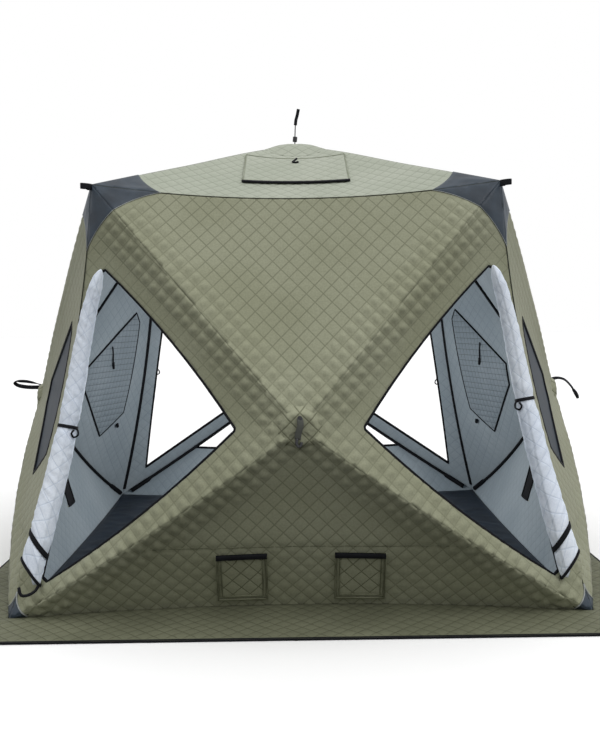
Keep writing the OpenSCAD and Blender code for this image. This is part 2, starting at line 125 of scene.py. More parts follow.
def inward(q, s, t):
    s, t = np.broadcast_arrays(np.asarray(s, float), np.asarray(t, float))
    side = q["a_in"] + (q["b_in"] - q["a_in"]) * s[..., None]
    return q["hub_in"] + (side - q["hub_in"]) * t[..., None]


def locate(q, flat):
    """s and t where a quarter passes over points of its flat pattern."""
    ax = q["flat"]
    hub, a, b = q["hub"][ax], q["a"][ax], q["b"][ax]
    w = np.linalg.solve(np.array([a - hub, b - hub]).T, (flat - hub).T).T
    t = np.maximum(w.sum(1), 1e-4)
    s = np.clip(w[:, 1] / t, -0.3, 1.3)
    e = 1e-5
    for _ in range(7):
        miss = skin(q, s, t)[:, ax] - flat
        ds = (skin(q, s + e, t) - skin(q, s - e, t))[:, ax] / (2 * e)
        dt = (skin(q, s, t + e) - skin(q, s, t - e))[:, ax] / (2 * e)
        det = ds[:, 0] * dt[:, 1] - ds[:, 1] * dt[:, 0]
        det = np.where(np.abs(det) < 1e-9, 1e-9, det)
        s = np.clip(s - (miss[:, 0] * dt[:, 1] - miss[:, 1] * dt[:, 0]) / det, -0.3, 1.3)
        t = np.clip(t - (ds[:, 0] * miss[:, 1] - ds[:, 1] * miss[:, 0]) / det, 1e-4, 1.3)
    return s, t


def surface(q, flat):
    """Points, outward normals and inward directions of a quarter over its flat pattern."""
    flat = np.atleast_2d(np.asarray(flat, float))
    s, t = locate(q, flat)
    e = 1e-4
    ds = skin(q, s + e, t) - skin(q, s - e, t)
    dt = skin(q, s, t + e) - skin(q, s, t - e)
    n = np.cross(dt, ds)
    n /= np.maximum(np.linalg.norm(n, axis=1), 1e-12)[:, None]
    way = inward(q, s, t)
    n *= np.where((n * way).sum(1) > 0, -1.0, 1.0)[:, None]
    return skin(q, s, t), n, way


def turned(points, turn):
    """Points of the front wall moved round to another wall."""
    c, s = ((1, 0), (0, 1), (-1, 0), (0, -1))[turn]
    p = np.asarray(points, float)
    return np.stack([p[..., 0] * c - p[..., 1] * s, p[..., 0] * s + p[..., 1] * c, p[..., 2]], -1)


UPPER_QUARTER, RIGHT_QUARTER, LEFT_QUARTER = quarter("upper"), quarter("right"), quarter("left")


def hem_tuck(turn):
    """How far a wall's ground seam is pulled in: more where it has doorways."""
    return DOOR_HEM_TUCK if turn in (0, 2) else SIDE_HEM_TUCK


# ---- Flat patterns --------------------------------------------------------------

def unit(v):
    v = np.asarray(v, float)
    return v / np.linalg.norm(v)


def crossing(a, b, k, c, d, m):
    """Where line a-b, moved k to its right, meets line c-d, moved m to its right."""
    u, v = unit(b - a), unit(d - c)
    p, r = a + k * np.array([u[1], -u[0]]), c + m * np.array([v[1], -v[0]])
    w = r - p
    return p + u * (w[0] * v[1] - w[1] * v[0]) / (u[0] * v[1] - u[1] * v[0])


FLAT_HUB = np.array([0.0, HUB_Z])
FLAT_TOP = np.array([HALF_TOP, EAVE_Z])
FLAT_BASE = np.array([HALF_BASE, 0.0])


def quarter_space(upper, seam, lower):
    """Corners of the space in a right-hand quarter, inside its bands.

    The lower band narrows from lower[0] at the hub to lower[1] at the foot."""
    h, t, b = FLAT_HUB, FLAT_TOP, FLAT_BASE
    u = unit(h - b)
    side = np.array([u[1], -u[0]])
    at_hub, at_foot = h + side * lower[0], b + side * lower[1]
    return [crossing(h, t, upper, t, b, seam), crossing(t, b, seam, at_foot, at_hub, 0),
            crossing(at_foot, at_hub, 0, h, t, upper)]


def bowed_outline(corners, cuts, bows, n=9):
    """Outline with its points cut off and its sides bowed outward."""
    out = []
    for i in range(3):
        j = (i + 1) % 3
        u = unit(corners[j] - corners[i])
        side = np.array([-u[1], u[0]])
        a, b = corners[i] + u * cuts[i], corners[j] - u * cuts[j]
        out += [a + (b - a) * k + side * bows[i] * 4 * k * (1 - k) for k in np.linspace(0, 1, n)]
    return np.array(out)


def mirrored(outline):
    return (np.asarray(outline) * (-1, 1))[::-1]


def seam_line(q, ends=(0, 1), n=40):
    return skin(q, np.linspace(*ends, n), 1.0)[:, q["flat"]]


def strut_line(q, s, start=0.0, n=40):
    return skin(q, s, np.linspace(start, 1, n))[:, q["flat"]]


def quarter_outline(q):
    """The whole quarter: out along one strut, along the seam and back down the other."""
    return np.concatenate([strut_line(q, 0.0), seam_line(q)[1:], strut_line(q, 1.0)[::-1][1:-1]])


def even(outline, step=EDGE_STEP, closed=True):
    """The outline again, with its points a step apart and its sharp corners kept."""
    p = np.asarray(outline, float)
    if closed:
        p = np.concatenate([p, p[:1]])
    runs, out = [0], []
    for i in range(1, len(p) - 1):
        a, b = p[i] - p[i - 1], p[i + 1] - p[i]
        turn = abs(a[0] * b[1] - a[1] * b[0]) / max(np.linalg.norm(a) * np.linalg.norm(b), 1e-12)
        if turn > 0.2:
            runs.append(i)
    runs.append(len(p) - 1)
    for i, j in zip(runs, runs[1:]):
        run = p[i:j + 1]
        far = np.concatenate([[0], np.cumsum(np.linalg.norm(np.diff(run, axis=0), axis=1))])
        n = max(1, round(far[-1] / step))
        at = np.linspace(0, far[-1], n + 1)[:-1]
        out.append(np.stack([np.interp(at, far, run[:, 0]), np.interp(at, far, run[:, 1])], 1))
    if not closed:
        out.append(p[-1:])
    return np.concatenate(out)


def inside(points, outline):
    """Which points lie inside an outline."""
    x, y = points[:, 0], points[:, 1]
    hit = np.zeros(len(points), bool)
    for (ax, ay), (bx, by) in zip(outline, np.roll(outline, -1, 0)):
        if ay != by:
            hit ^= ((ay > y) != (by > y)) & (x < (bx - ax) * (y - ay) / (by - ay) + ax)
    return hit


def distance(points, outline, closed=True):
    """Distance from points to an outline."""
    best = np.full(len(points), 1e9)
    ends = np.roll(outline, -1, 0) if closed else outline[1:]
    for a, b in zip(outline, ends):
        d = b - a
        k = np.clip(((points - a) @ d) / max(d @ d, 1e-12), 0, 1)
        best = np.minimum(best, np.linalg.norm(points - a - k[:, None] * d, axis=1))
    return best


def quilt_points(low, high):
    """Points on a slanting grid that has a row on every stitch line."""
    reach = np.abs(np.array([low, high])).sum(1).max()
    n = int(reach / QUILT) + 2
    line = np.array([(i + k) * QUILT for i in range(-n, n) for k in STEPS])
    u, v = np.meshgrid(line, line)
    p = np.stack([(u - v).ravel(), (u + v).ravel()], 1) / math.sqrt(2)
    keep = (p >= np.asarray(low)).all(1) & (p <= np.asarray(high)).all(1)
    return p[keep]


def puff(flat):
    """Height of the padding: low pyramids, from 0 on a stitch line to 1 in the middle of a square."""
    u = (flat[:, 0] + flat[:, 1]) / math.sqrt(2) / QUILT
    v = (flat[:, 1] - flat[:, 0]) / math.sqrt(2) / QUILT
    u, v = np.abs(u - np.floor(u) - 0.5), np.abs(v - np.floor(v) - 0.5)
    slope = 1 - 2 * (u ** 5 + v ** 5) ** 0.2
    return np.clip(slope, 0, 1) ** 0.85


def soft_noise(x, y, size, seed):
    """Smooth unevenness of about -1 to 1, the same every time."""
    r = np.random.default_rng(seed)
    total = np.zeros_like(x)
    for _ in range(7):
        a, f, p = r.uniform(0, np.pi), r.uniform(0.6, 1.6) / size, r.uniform(0, 2 * np.pi)
        total += np.sin(2 * np.pi * f * (x * np.cos(a) + y * np.sin(a)) + p)
    return total / 3.5


def smooth(x, lo, hi):
    k = np.clip((np.asarray(x, float) - lo) / (hi - lo), 0, 1)
    return k * k * (3 - 2 * k)


# ---- Materials -------------------------------------------------------------------

def colour(code):
    """An sRGB hex code as linear RGBA."""
    parts = [int(code[i:i + 2], 16) / 255 for i in (1, 3, 5)]
    return [c / 12.92 if c <= 0.04045 else ((c + 0.055) / 1.055) ** 2.4 for c in parts] + [1.0]


def add_node(mat, kind, links=None, **settings):
    """Adds one node: settings are its own, or inputs by name or number; links go to its inputs."""
    node = mat.node_tree.nodes.new(kind)
    for key, value in settings.items():
        if hasattr(node, key):
            setattr(node, key, value)
        else:
            node.inputs[int(key[1:]) if key[1:].isdigit() else key.replace("_", " ")].default_value = value
    for key, source in (links or {}).items():
        mat.node_tree.links.new(source, node.inputs[key])
    return node


def new_material(name, base, rough, **settings):
    """A material with its shader; settings are the shader's own sockets."""
    mat = bpy.data.materials.new(name)
    mat.use_nodes = True
    shader = mat.node_tree.nodes["Principled BSDF"]
    shader.inputs["Base Color"].default_value = colour(base)
    shader.inputs["Roughness"].default_value = rough
    for key, value in settings.items():
        shader.inputs[key.replace("_", " ")].default_value = value
    return mat, shader


def per_mm(size):
    """Scale of a pattern whose repeat is so many millimetres."""
    return 1000.0 / size


def mix_colour(mat, factor, a, b):
    """Mixes two colours, each a hex code or a socket."""
    node = add_node(mat, "ShaderNodeMix", {0: factor}, data_type="RGBA", blend_type="MIX")
    for place, value in ((6, a), (7, b)):
        if isinstance(value, str):
            node.inputs[place].default_value = colour(value)
        else:
            mat.node_tree.links.new(value, node.inputs[place])
    return node.outputs[2]


def ranged(mat, source, lo, hi, to_lo=0.0, to_hi=1.0):
    """A value brought from one range to another."""
    node = add_node(mat, "ShaderNodeMapRange", {"Value": source}, interpolation_type="SMOOTHSTEP",
                    From_Min=lo, From_Max=hi, To_Min=to_lo, To_Max=to_hi)
    return node.outputs[0]


def maths(mat, operation, a, b=0.5):
    node = add_node(mat, "ShaderNodeMath", operation=operation)
    for place, value in ((0, a), (1, b)):
        if isinstance(value, (int, float)):
            node.inputs[place].default_value = value
        else:
            mat.node_tree.links.new(value, node.inputs[place])
    return node.outputs[0]


def noise(mat, coords, size_mm, detail=2.0, stretch=(1, 1, 1)):
    """Unevenness whose lumps are so many millimetres across."""
    mapped = add_node(mat, "ShaderNodeMapping", {"Vector": coords}, Scale=stretch)
    node = add_node(mat, "ShaderNodeTexNoise", {"Vector": mapped.outputs[0]},
                    Scale=per_mm(size_mm), Detail=detail, Roughness=0.5)
    return node.outputs[0]


def bump(mat, height, depth_mm, strength=1.0, under=None):
    node = add_node(mat, "ShaderNodeBump", {"Height": height}, Strength=strength,
                    Distance=depth_mm / 1000)
    if under:
        mat.node_tree.links.new(under, node.inputs["Normal"])
    return node.outputs[0]


STITCH_W = 2.2  # mm, half of the crease that a line of stitches draws in


def stitch_lines(mat, pattern):
    """0 between the lines of stitches and 1 on them, from the cloth's own flat pattern."""
    parts = add_node(mat, "ShaderNodeSeparateXYZ", {0: pattern})
    x, y = parts.outputs[0], parts.outputs[1]
    near = []
    for joined in (maths(mat, "ADD", x, y), maths(mat, "SUBTRACT", y, x)):
        rows = maths(mat, "MULTIPLY", joined, 1 / math.sqrt(2) / QUILT)
        near.append(maths(mat, "PINGPONG", rows, 0.5))
    nearest = maths(mat, "MINIMUM", near[0], near[1])
    across = STITCH_W / 1000 / QUILT
    return ranged(mat, nearest, across * 0.25, across * 1.6, 1.0, 0.0)


MATT = 0.12  # specular level of a cloth with no coat


def quilted_cloth(name, base, deep, worn, rough=0.62, line=0.7, **settings):
    """Coated polyester quilted to its padding: matt, with painted shade darkening the creases along the
    stitches.
    """
    mat, shader = new_material(name, base, rough, Specular_IOR_Level=MATT, **settings)
    tree = mat.node_tree
    pattern = add_node(mat, "ShaderNodeUVMap", uv_map="flat").outputs[0]
    place = add_node(mat, "ShaderNodeTexCoord").outputs["Object"]
    quilting = add_node(mat, "ShaderNodeAttribute", attribute_name="quilting").outputs["Fac"]
    lines = maths(mat, "MULTIPLY", stitch_lines(mat, pattern), quilting)
    blotches = ranged(mat, noise(mat, place, 380, 3.0), 0.35, 0.68)
    shade = mix_colour(mat, blotches, base, worn)
    fine = ranged(mat, noise(mat, place, 7, 2.0), 0.3, 0.7, 0.0, 0.16)
    shade = mix_colour(mat, fine, shade, deep)
    # Painted shade: along the stitched creases the colour darkens towards the second colour
    shade = mix_colour(mat, maths(mat, "MULTIPLY", lines, line), shade, deep)
    tree.links.new(shade, shader.inputs["Base Color"])
    # The weave is 0.4 mm and is drawn at 3 mm, the least that shows
    weave = bump(mat, noise(mat, place, 3.0, 1.0), 0.25, 0.35)
    creases = bump(mat, noise(mat, place, 28, 2.5, (1, 1, 0.55)), 1.6, 0.55, weave)
    sewn = bump(mat, maths(mat, "SUBTRACT", 1.0, lines), 1.3, 0.7, creases)
    tree.links.new(sewn, shader.inputs["Normal"])
    return mat


def plain_cloth(name, base, deep, rough, crease_mm=30, depth_mm=1.5, weave_mm=2.5, gloss=MATT):
    """Unquilted cloth: a slightly uneven colour, a weave and soft creases."""
    mat, shader = new_material(name, base, rough, Specular_IOR_Level=gloss)
    place = add_node(mat, "ShaderNodeTexCoord").outputs["Object"]
    blotches = ranged(mat, noise(mat, place, 90, 3.0), 0.3, 0.7)
    mat.node_tree.links.new(mix_colour(mat, blotches, base, deep), shader.inputs["Base Color"])
    weave = bump(mat, noise(mat, place, weave_mm, 1.0), 0.3, 0.4)
    creases = bump(mat, noise(mat, place, crease_mm, 2.0), depth_mm, 0.6, weave)
    mat.node_tree.links.new(creases, shader.inputs["Normal"])
    return mat


def hard_plastic(name, base, rough, grain_mm, **settings):
    """Moulded plastic: even colour, a fine grain from the mould and slightly uneven gloss."""
    mat, shader = new_material(name, base, rough, **settings)
    place = add_node(mat, "ShaderNodeTexCoord").outputs["Object"]
    gloss = ranged(mat, noise(mat, place, 40, 2.0), 0.3, 0.7, rough - 0.06, rough + 0.08)
    mat.node_tree.links.new(gloss, shader.inputs["Roughness"])
    grain = bump(mat, noise(mat, place, grain_mm, 1.0), 0.15, 0.35)
    mat.node_tree.links.new(grain, shader.inputs["Normal"])
    return mat


# Polyester with a matt coating: soft, dull light and a dull green
WALL_CLOTH = quilted_cloth("quilted_polyester_olive", "#94967e", "#4f5139", "#9d9f88",
                           Sheen_Weight=0.12, Sheen_Roughness=0.5)
# The roof is a paler, bluer copy of the same cloth: painted sky light and sheen on its upward faces
ROOF_CLOTH = quilted_cloth("quilted_polyester_olive_painted_skylight", "#a6ac9c", "#7b8170", "#aeb3a4", line=0.5,
                           Sheen_Weight=0.15, Sheen_Roughness=0.5)
SKIRT_CLOTH = quilted_cloth("quilted_polyester_skirt", "#6b6d5a", "#414332", "#747662", line=0.6)
# The lining has a thin silvery coat, so it is a little glossier than the outside
LINING = quilted_cloth("coated_lining_grey", "#97a2a9", "#6d7880", "#a3adb3", 0.5, 0.5)
FLAP_LINING = quilted_cloth("coated_lining_ribbed", "#8b969d", "#535d64", "#97a1a8", 0.5, 0.85)
WHITE_LINING = quilted_cloth("coated_lining_white", "#e8f1ff", "#a9bcd4", "#eff6ff", 0.5, 0.45)
# Heavy plain weave, dark blue, with a coated back that catches some light
PATCH_CLOTH = plain_cloth("oxford_cloth_navy", "#37434f", "#29323c", 0.5, 55, 2.5, gloss=0.4)
# Woven sheet with a smooth coat: it shines a little along its wrinkles
FLOOR_CLOTH = plain_cloth("coated_tarpaulin_navy", "#172433", "#101a26", 0.5, 70, 3.0, gloss=0.4)
# Nylon tape: fine ribs and no shine
TAPE = plain_cloth("nylon_tape_black", "#15161a", "#0e0f12", 0.7, 12, 0.4, weave_mm=1.5)
WEBBING = plain_cloth("polyester_webbing_black", "#1b1c20", "#111216", 0.65, 8, 0.5, weave_mm=2.0)
WEBBING_GREY = plain_cloth("polyester_webbing_grey", "#63655f", "#4a4c48", 0.6, 8, 0.5, weave_mm=2.0)
DARK_SEAM = plain_cloth("polyester_piping_dark_olive", "#44463a", "#33352b", 0.7, 12, 0.4, weave_mm=1.5)
OLIVE_TAPE = plain_cloth("polyester_tape_olive", "#7a7c67", "#5a5c49", 0.65, 12, 0.4, weave_mm=1.5)
# A paler copy of the olive tape for the roof: the same painted sky light as the roof's cloth
PALE_TAPE = plain_cloth("polyester_tape_olive_painted_skylight", "#9a9f8f", "#858a78", 0.65, 12, 0.4, weave_mm=1.5)
PIPING = plain_cloth("reflective_piping_grey", "#aeb2b0", "#8d918f", 0.45, 10, 0.3)
# Smoked film with a matt face, which stays dark even where it is seen from the side
FILM, film_shader = new_material("smoked_pvc_film", "#1c2732", 0.5, Specular_IOR_Level=0.08)
# Pultruded glass fibre: black, smooth, long faint scratches
ROD = hard_plastic("glass_fibre_rod_black", "#17181a", 0.38, 1.2)
# Moulded nylon: black with a fine grain
NYLON = hard_plastic("moulded_nylon_black", "#1c1d20", 0.45, 0.8)

film_place = add_node(FILM, "ShaderNodeTexCoord").outputs["Object"]
film_waves = bump(FILM, noise(FILM, film_place, 120, 1.0), 3.0, 0.5)
FILM.node_tree.links.new(film_waves, film_shader.inputs["Normal"])


# ---- Mesh work -------------------------------------------------------------------

def signed_area(outline):
    x, y = outline[:, 0], outline[:, 1]
    return 0.5 * (x * np.roll(y, -1) - y * np.roll(x, -1)).sum()


def flat_mesh(loops, grid):
    """Triangles over a flat pattern: its outline first, then its holes; also the loops' points."""
    loops = [even(o) for o in loops]
    loops = [o if (signed_area(o) > 0) == (i == 0) else o[::-1] for i, o in enumerate(loops)]
    keep = inside(grid, loops[0]) & (distance(grid, loops[0]) > EDGE_STEP * 0.45)
    for hole in loops[1:]:
        keep &= ~inside(grid, hole) & (distance(grid, hole) > EDGE_STEP * 0.45)
    points = np.concatenate(loops + [grid[keep]])
    edges, start = [], 0
    for o in loops:
        n = len(o)
        edges += [(start + i, start + (i + 1) % n) for i in range(n)]
        start += n
    found = delaunay_2d_cdt([Vector(p) for p in points.tolist()], edges, [], 1, 1e-6)
    flat = np.array([tuple(v) for v in found[0]])
    tris = np.array([tuple(f) for f in found[2]])
    mid = flat[tris].mean(1)
    good = inside(mid, loops[0])
    for hole in loops[1:]:
        good &= ~inside(mid, hole)
    tris = tris[good]
    place = {src: i for i, srcs in enumerate(found[3]) for src in srcs}
    rings, start = [], 0
    for o in loops:
        rings.append([place[start + i] for i in range(len(o))])
        start += len(o)
    used = np.zeros(len(flat), bool)
    used[tris.ravel()] = True
    number = np.cumsum(used) - 1
    return flat[used], number[tris], [[number[i] for i in ring] for ring in rings], loops


def layers(lift, loops, outer_loft, inner_loft, quilting, turn=0, depth=(0.0, CLOTH), grid=None,
           away=(0.0, 0.04)):
    """Padded cloth over a flat pattern as one closed shell of two layers and a rim.

    lift turns the flat pattern into points, outward normals and inward directions. Each loft says
    how far its layer stands out, from the place in the pattern and the distance to its edge."""
    if grid is None:
        grid = quilt_points(loops[0].min(0), loops[0].max(0))
    flat, tris, rings, fine = flat_mesh(loops, grid)
    edge = np.min([distance(flat, o) for o in fine], axis=0)
    points, normal, way = lift(flat)
    size = np.linalg.norm(way, axis=1)[:, None]
    share = smooth(edge, *away)[:, None]
    out = normal * share - way / size * (1 - share)
    out /= np.linalg.norm(out, axis=1)[:, None]
    outer = points + way * depth[0] + out * outer_loft(flat, edge)[:, None]
    inner = points + way * depth[1] - out * inner_loft(flat, edge)[:, None]
    n = len(flat)
    faces = tris.tolist() + (tris[:, ::-1] + n).tolist()
    slots = [0] * len(tris) + [1] * len(tris)
    for ring in rings:
        for i, j in zip(ring, ring[1:] + ring[:1]):
            faces.append([j, i, i + n, j + n])
            slots.append(2)
    stitched = quilting(flat, edge)
    return {"verts": turned(np.concatenate([outer, inner]), turn), "faces": faces, "slots": slots,
            "flat": np.concatenate([flat, flat]), "quilting": np.concatenate([stitched, stitched])}


def joined(shells):
    """Several shells as one."""
    start = np.cumsum([0] + [len(p["verts"]) for p in shells])
    return {"verts": np.concatenate([p["verts"] for p in shells]),
            "faces": [[i + int(k) for i in f] for p, k in zip(shells, start) for f in p["faces"]],
            "slots": [m for p in shells for m in p["slots"]],
            "flat": np.concatenate([p["flat"] for p in shells]),
            "quilting": np.concatenate([p["quilting"] for p in shells])}


def cloth_piece(name, shell, mats, slot_name, *nodes):
    """A shell as an object that rides on the hut and stands for the nodes named."""
    mesh = bpy.data.meshes.new(name)
    mesh.from_pydata(np.asarray(shell["verts"]).tolist(), [], [list(f) for f in shell["faces"]])
    for mat in mats:
        mesh.materials.append(mat)
    mesh.polygons.foreach_set("material_index", np.asarray(shell["slots"], np.int32))
    mesh.polygons.foreach_set("use_smooth", np.ones(len(mesh.polygons), bool))
    layer = mesh.uv_layers.new(name="flat")
    at = np.empty(len(mesh.loops), np.int32)
    mesh.loops.foreach_get("vertex_index", at)
    layer.data.foreach_set("uv", np.asarray(shell["flat"], np.float32)[at].ravel())
    mesh.attributes.new("quilting", "FLOAT", "POINT")
    quilting = np.asarray(shell["quilting"], np.float32)
    mesh.attributes["quilting"].data.foreach_set("value", quilting)
    mesh.validate()
    mesh.update()
    obj = bpy.data.objects.new(name, mesh)
    bpy.context.scene.collection.objects.link(obj)
    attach(obj, "root")
    if nodes:
        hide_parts(*nodes)
    return obj


def cut_box(outline):
    """Sides of the smallest rectangle that an outline can be cut from, the longer one last."""
    sizes = []
    for angle in np.radians(np.arange(0, 90, 1.0)):
        c, s = np.cos(angle), np.sin(angle)
        sizes.append(np.sort(np.ptp(outline @ np.array([[c, -s], [s, c]]), axis=0)))
    return min(sizes, key=np.prod)


def unfolded(q, outline):
    """A quarter's outline laid out at its real size, in the plane through its hub and two corners."""
    hub, a, b = q["hub"], q["a"], q["b"]
    ahead = unit(a - hub)
    side = unit(b - hub - ahead * np.dot(b - hub, ahead))
    real = np.array([[np.dot(p - hub, ahead), np.dot(p - hub, side)] for p in (a, b)])
    seen = np.array([(p - hub)[q["flat"]] for p in (a, b)])
    return (outline - hub[q["flat"]]) @ np.linalg.solve(seen, real)


def declare_cut(cuts, strip=False):
    """Works out the flat size that cloth is cut to, from its unfolded outlines and not from its mesh, but
    keeps and returns nothing.

    Each cut is an outline and then its openings, and several are cut from one length of cloth.
    strip is for a doorway's surround, which is one strip sewn round the opening."""
    area = sum(abs(signed_area(c[0])) - sum(abs(signed_area(o)) for o in c[1:]) for c in cuts)
    boxes = np.array([cut_box(c[0]) for c in cuts])
    length = boxes[:, 1].max()
    width = boxes.prod(1).sum() / length
    if strip:
        # Its length is taken along its middle, between the outer edge and the opening
        length = np.mean([np.linalg.norm(o - np.roll(o, 1, 0), axis=1).sum() for o in cuts[0]])
        width = area / length


def over(q):
    return lambda flat: surface(q, flat)


def none(flat, edge):
    return np.zeros(len(flat))


def sweep(path, up, half_w, half_t, closed=False, sides=8, square=1.0, turn=0):
    """A tape, strap or tube along a path: half_w across the surface and half_t out of it."""
    path, up = np.asarray(path, float), np.asarray(up, float)
    n = len(path)
    ahead = np.roll(path, -1, 0) - np.roll(path, 1, 0)
    if not closed:
        ahead[0], ahead[-1] = path[1] - path[0], path[-1] - path[-2]
    ahead /= np.maximum(np.linalg.norm(ahead, axis=1), 1e-12)[:, None]
    across = np.cross(ahead, up)
    across /= np.maximum(np.linalg.norm(across, axis=1), 1e-12)[:, None]
    out = np.cross(across, ahead)
    a = np.arange(sides) * 2 * np.pi / sides + np.pi / sides
    c, s = np.cos(a), np.sin(a)
    c, s = np.sign(c) * np.abs(c) ** square, np.sign(s) * np.abs(s) ** square
    wide = np.broadcast_to(np.asarray(half_w, float), (n,))[:, None, None]
    thick = np.broadcast_to(np.asarray(half_t, float), (n,))[:, None, None]
    verts = path[:, None] + across[:, None] * c[:, None] * wide + out[:, None] * s[:, None] * thick
    faces = []
    for i in range(n if closed else n - 1):
        j = (i + 1) % n
        for k in range(sides):
            m = (k + 1) % sides
            faces.append([i * sides + k, j * sides + k, j * sides + m, i * sides + m])
    if not closed:
        faces.append(list(range(sides)))
        faces.append([(n - 1) * sides + k for k in reversed(range(sides))])
    verts = turned(verts.reshape(-1, 3), turn)
    return {"verts": verts, "faces": faces, "slots": [0] * len(faces),
            "flat": np.zeros((len(verts), 2)), "quilting": np.zeros(len(verts))}


def tape_on(q, line, half_w, half_t, depth=0.0, closed=False, turn=0, square=1.0, step=0.02):
    """A tape along a line of a quarter's flat pattern."""
    line = even(line, step, closed)
    points, normal, way = surface(q, line)
    return sweep(points + way * depth, normal, half_w, half_t, closed, 8, square, turn)


def raised_line(q, line, size, turn, loft, extra=0.0):
    """A tape on the padded face of a panel. size is a radius, or a half width and half thickness."""
    half_w, half_t = size if isinstance(size, tuple) else (size, size)
    flat = even(np.asarray(line, float), 0.02, False)
    points, normal, _ = surface(q, flat)
    path = points + normal * (loft(flat) + extra)[:, None]
    return sweep(path, normal, half_w, half_t, False, 8, 0.6, turn)


def rectangle(x0, y0, x1, y1):
    return np.array([[x0, y0], [x1, y0], [x1, y1], [x0, y1]])


# ---- Quilted walls and roof ----------------------------------------------------------

# Widths of the plain hem along a doorway, of the bulging band beside it and of the calm edge
HEM_W = 0.066
BAND_FROM, BAND_W = 0.075, 0.125
LOW_BAND_FROM, LOW_BAND_W = 0.055, 0.115
PUFF_BAND = 0.0130
PUFF_SIDE = 0.0034
PUFF_WALL = 0.0011
PUFF_LOW = 0.0038
PUFF_LINING = 0.0018
PUFF_ROOF = 0.0030

DOOR_CUTS = (0.030, 0.040, 0.008)
UPPER_BAND = 0.190
LOWER_BAND = (0.142, 0.024)  # at the hub and at the foot
JAMB = 0.100
BACK_JAMB = 0.125
DOOR_BOW = 0.024
DOOR = bowed_outline(quarter_space(UPPER_BAND, JAMB, LOWER_BAND), DOOR_CUTS, (0, DOOR_BOW, DOOR_BOW))

FLAP_CORNERS = ((0.27, 0.84), (0.32, 0.88), (0.69, 0.83), (0.83, 0.64), (0.56, 0.38), (0.38, 0.38))
FLAP = np.array([skin(RIGHT_QUARTER, s, t)[[0, 2]] for s, t in FLAP_CORNERS])
WINDOW = FLAP.mean(0) + (FLAP - FLAP.mean(0)) * 0.91

SILL = 0.285
SLEEVE_W = 0.062


def back_doorway():
    """The wide doorway's edge in a right-hand quarter, down to the strut's sleeve."""
    top, bottom, hub_end = quarter_space(UPPER_BAND, BACK_JAMB, (0, 0))
    along = unit(FLAT_BASE - FLAT_HUB)
    up = np.array([-along[1], along[0]])
    low_a, low_b = FLAT_HUB + up * SLEEVE_W, FLAT_BASE + up * SLEEVE_W
    corner_1 = crossing(top, bottom, 0, low_a, low_b, 0)
    corner_2 = crossing(top, hub_end, 0, low_a, low_b, 0)
    return np.array([top, corner_2, corner_1])


BACK_DOOR = back_doorway()
STRUT_TOP, STRUT_LOW = strut_line(RIGHT_QUARTER, 0.0), strut_line(RIGHT_QUARTER, 1.0)


def below_sill():
    """The back wall's lower panel, cut off at its sill."""
    share = np.interp(-SILL, -STRUT_LOW[:, 1], np.linspace(0, 1, len(STRUT_LOW)))
    right = skin(RIGHT_QUARTER, 1.0, np.linspace(share, 1, 30))[:, [0, 2]]
    left = right * (-1, 1)
    hem = seam_line(quarter("lower"))[1:-1]
    return np.concatenate([left[::-1], right, hem])


BELOW_SILL = below_sill()


def to_one_side(flat):
    return np.stack([np.abs(flat[:, 0]), flat[:, 1]], 1)


def near_struts(flat):
    """Distances from points of a wall's flat pattern to its upper and its lower struts."""
    one_side = to_one_side(flat)
    return distance(one_side, STRUT_TOP, False), distance(one_side, STRUT_LOW, False)


PATCH_T = 0.002
PATCH_SEAM = 0.290
PATCH_STRUT = 0.165
PATCH_ROOF = 0.250
FOOT_SEAM = 0.105
FOOT_STRUT = 0.070
FOOT_LIFT = 0.009


def patch_outline(q, from_a, along_seam, along_strut, bow=0.012):
    """Half of a corner patch: from the tip along a seam, across, and back up the strut."""
    tip, seam_len = (q["a"], q["b"])[not from_a], np.linalg.norm(q["b"] - q["a"])
    strut_len = np.linalg.norm(tip - q["hub"])
    share = along_seam / seam_len
    seam = seam_line(q, (0, share) if from_a else (1, 1 - share), 20)
    strut = strut_line(q, 0.0 if from_a else 1.0, 1 - along_strut / strut_len, 20)
    k = np.linspace(0, 1, 12)[1:-1, None]
    across = seam[-1] + (strut[0] - seam[-1]) * k
    u = unit(strut[0] - seam[-1])
    side = np.array([-u[1], u[0]])
    if np.dot(side, seam[0] - seam[-1]) < 0:
        side = -side
    across = across + side * bow * 4 * k * (1 - k)
    return np.concatenate([seam, across, strut[:-1]])


WALL_PATCHES = (
    (UPPER_QUARTER, False, PATCH_SEAM, PATCH_STRUT), (RIGHT_QUARTER, True, PATCH_SEAM, PATCH_STRUT),
    (RIGHT_QUARTER, False, FOOT_SEAM, FOOT_STRUT), (quarter("lower"), True, FOOT_SEAM, FOOT_STRUT),
)
PATCH_SHAPES = [patch_outline(*p) for p in WALL_PATCHES]


def free_of(flat, shapes):
    """1 where the cloth is free and 0 where one of the patches lies on it."""
    free = np.ones(len(flat))
    for shape in shapes:
        free = np.minimum(free, np.where(inside(flat, shape), 0, smooth(distance(flat, shape), 0, 0.03)))
    return free


def wall_free(flat):
    return free_of(to_one_side(flat), PATCH_SHAPES)


LOW_SEAM_Z = 0.285  # a seam runs across each lower panel at this height
LOW_BULGE = 0.013


def low_bulge(flat):
    """How far a lower panel stands out between its struts, most along its seam."""
    z = flat[:, 1]
    rise = np.where(z > LOW_SEAM_Z, 1 - smooth(z, LOW_SEAM_Z, 0.52), z / LOW_SEAM_Z)
    return LOW_BULGE * np.clip(rise, 0, 1) * smooth(near_struts(flat)[1], 0.05, 0.25)


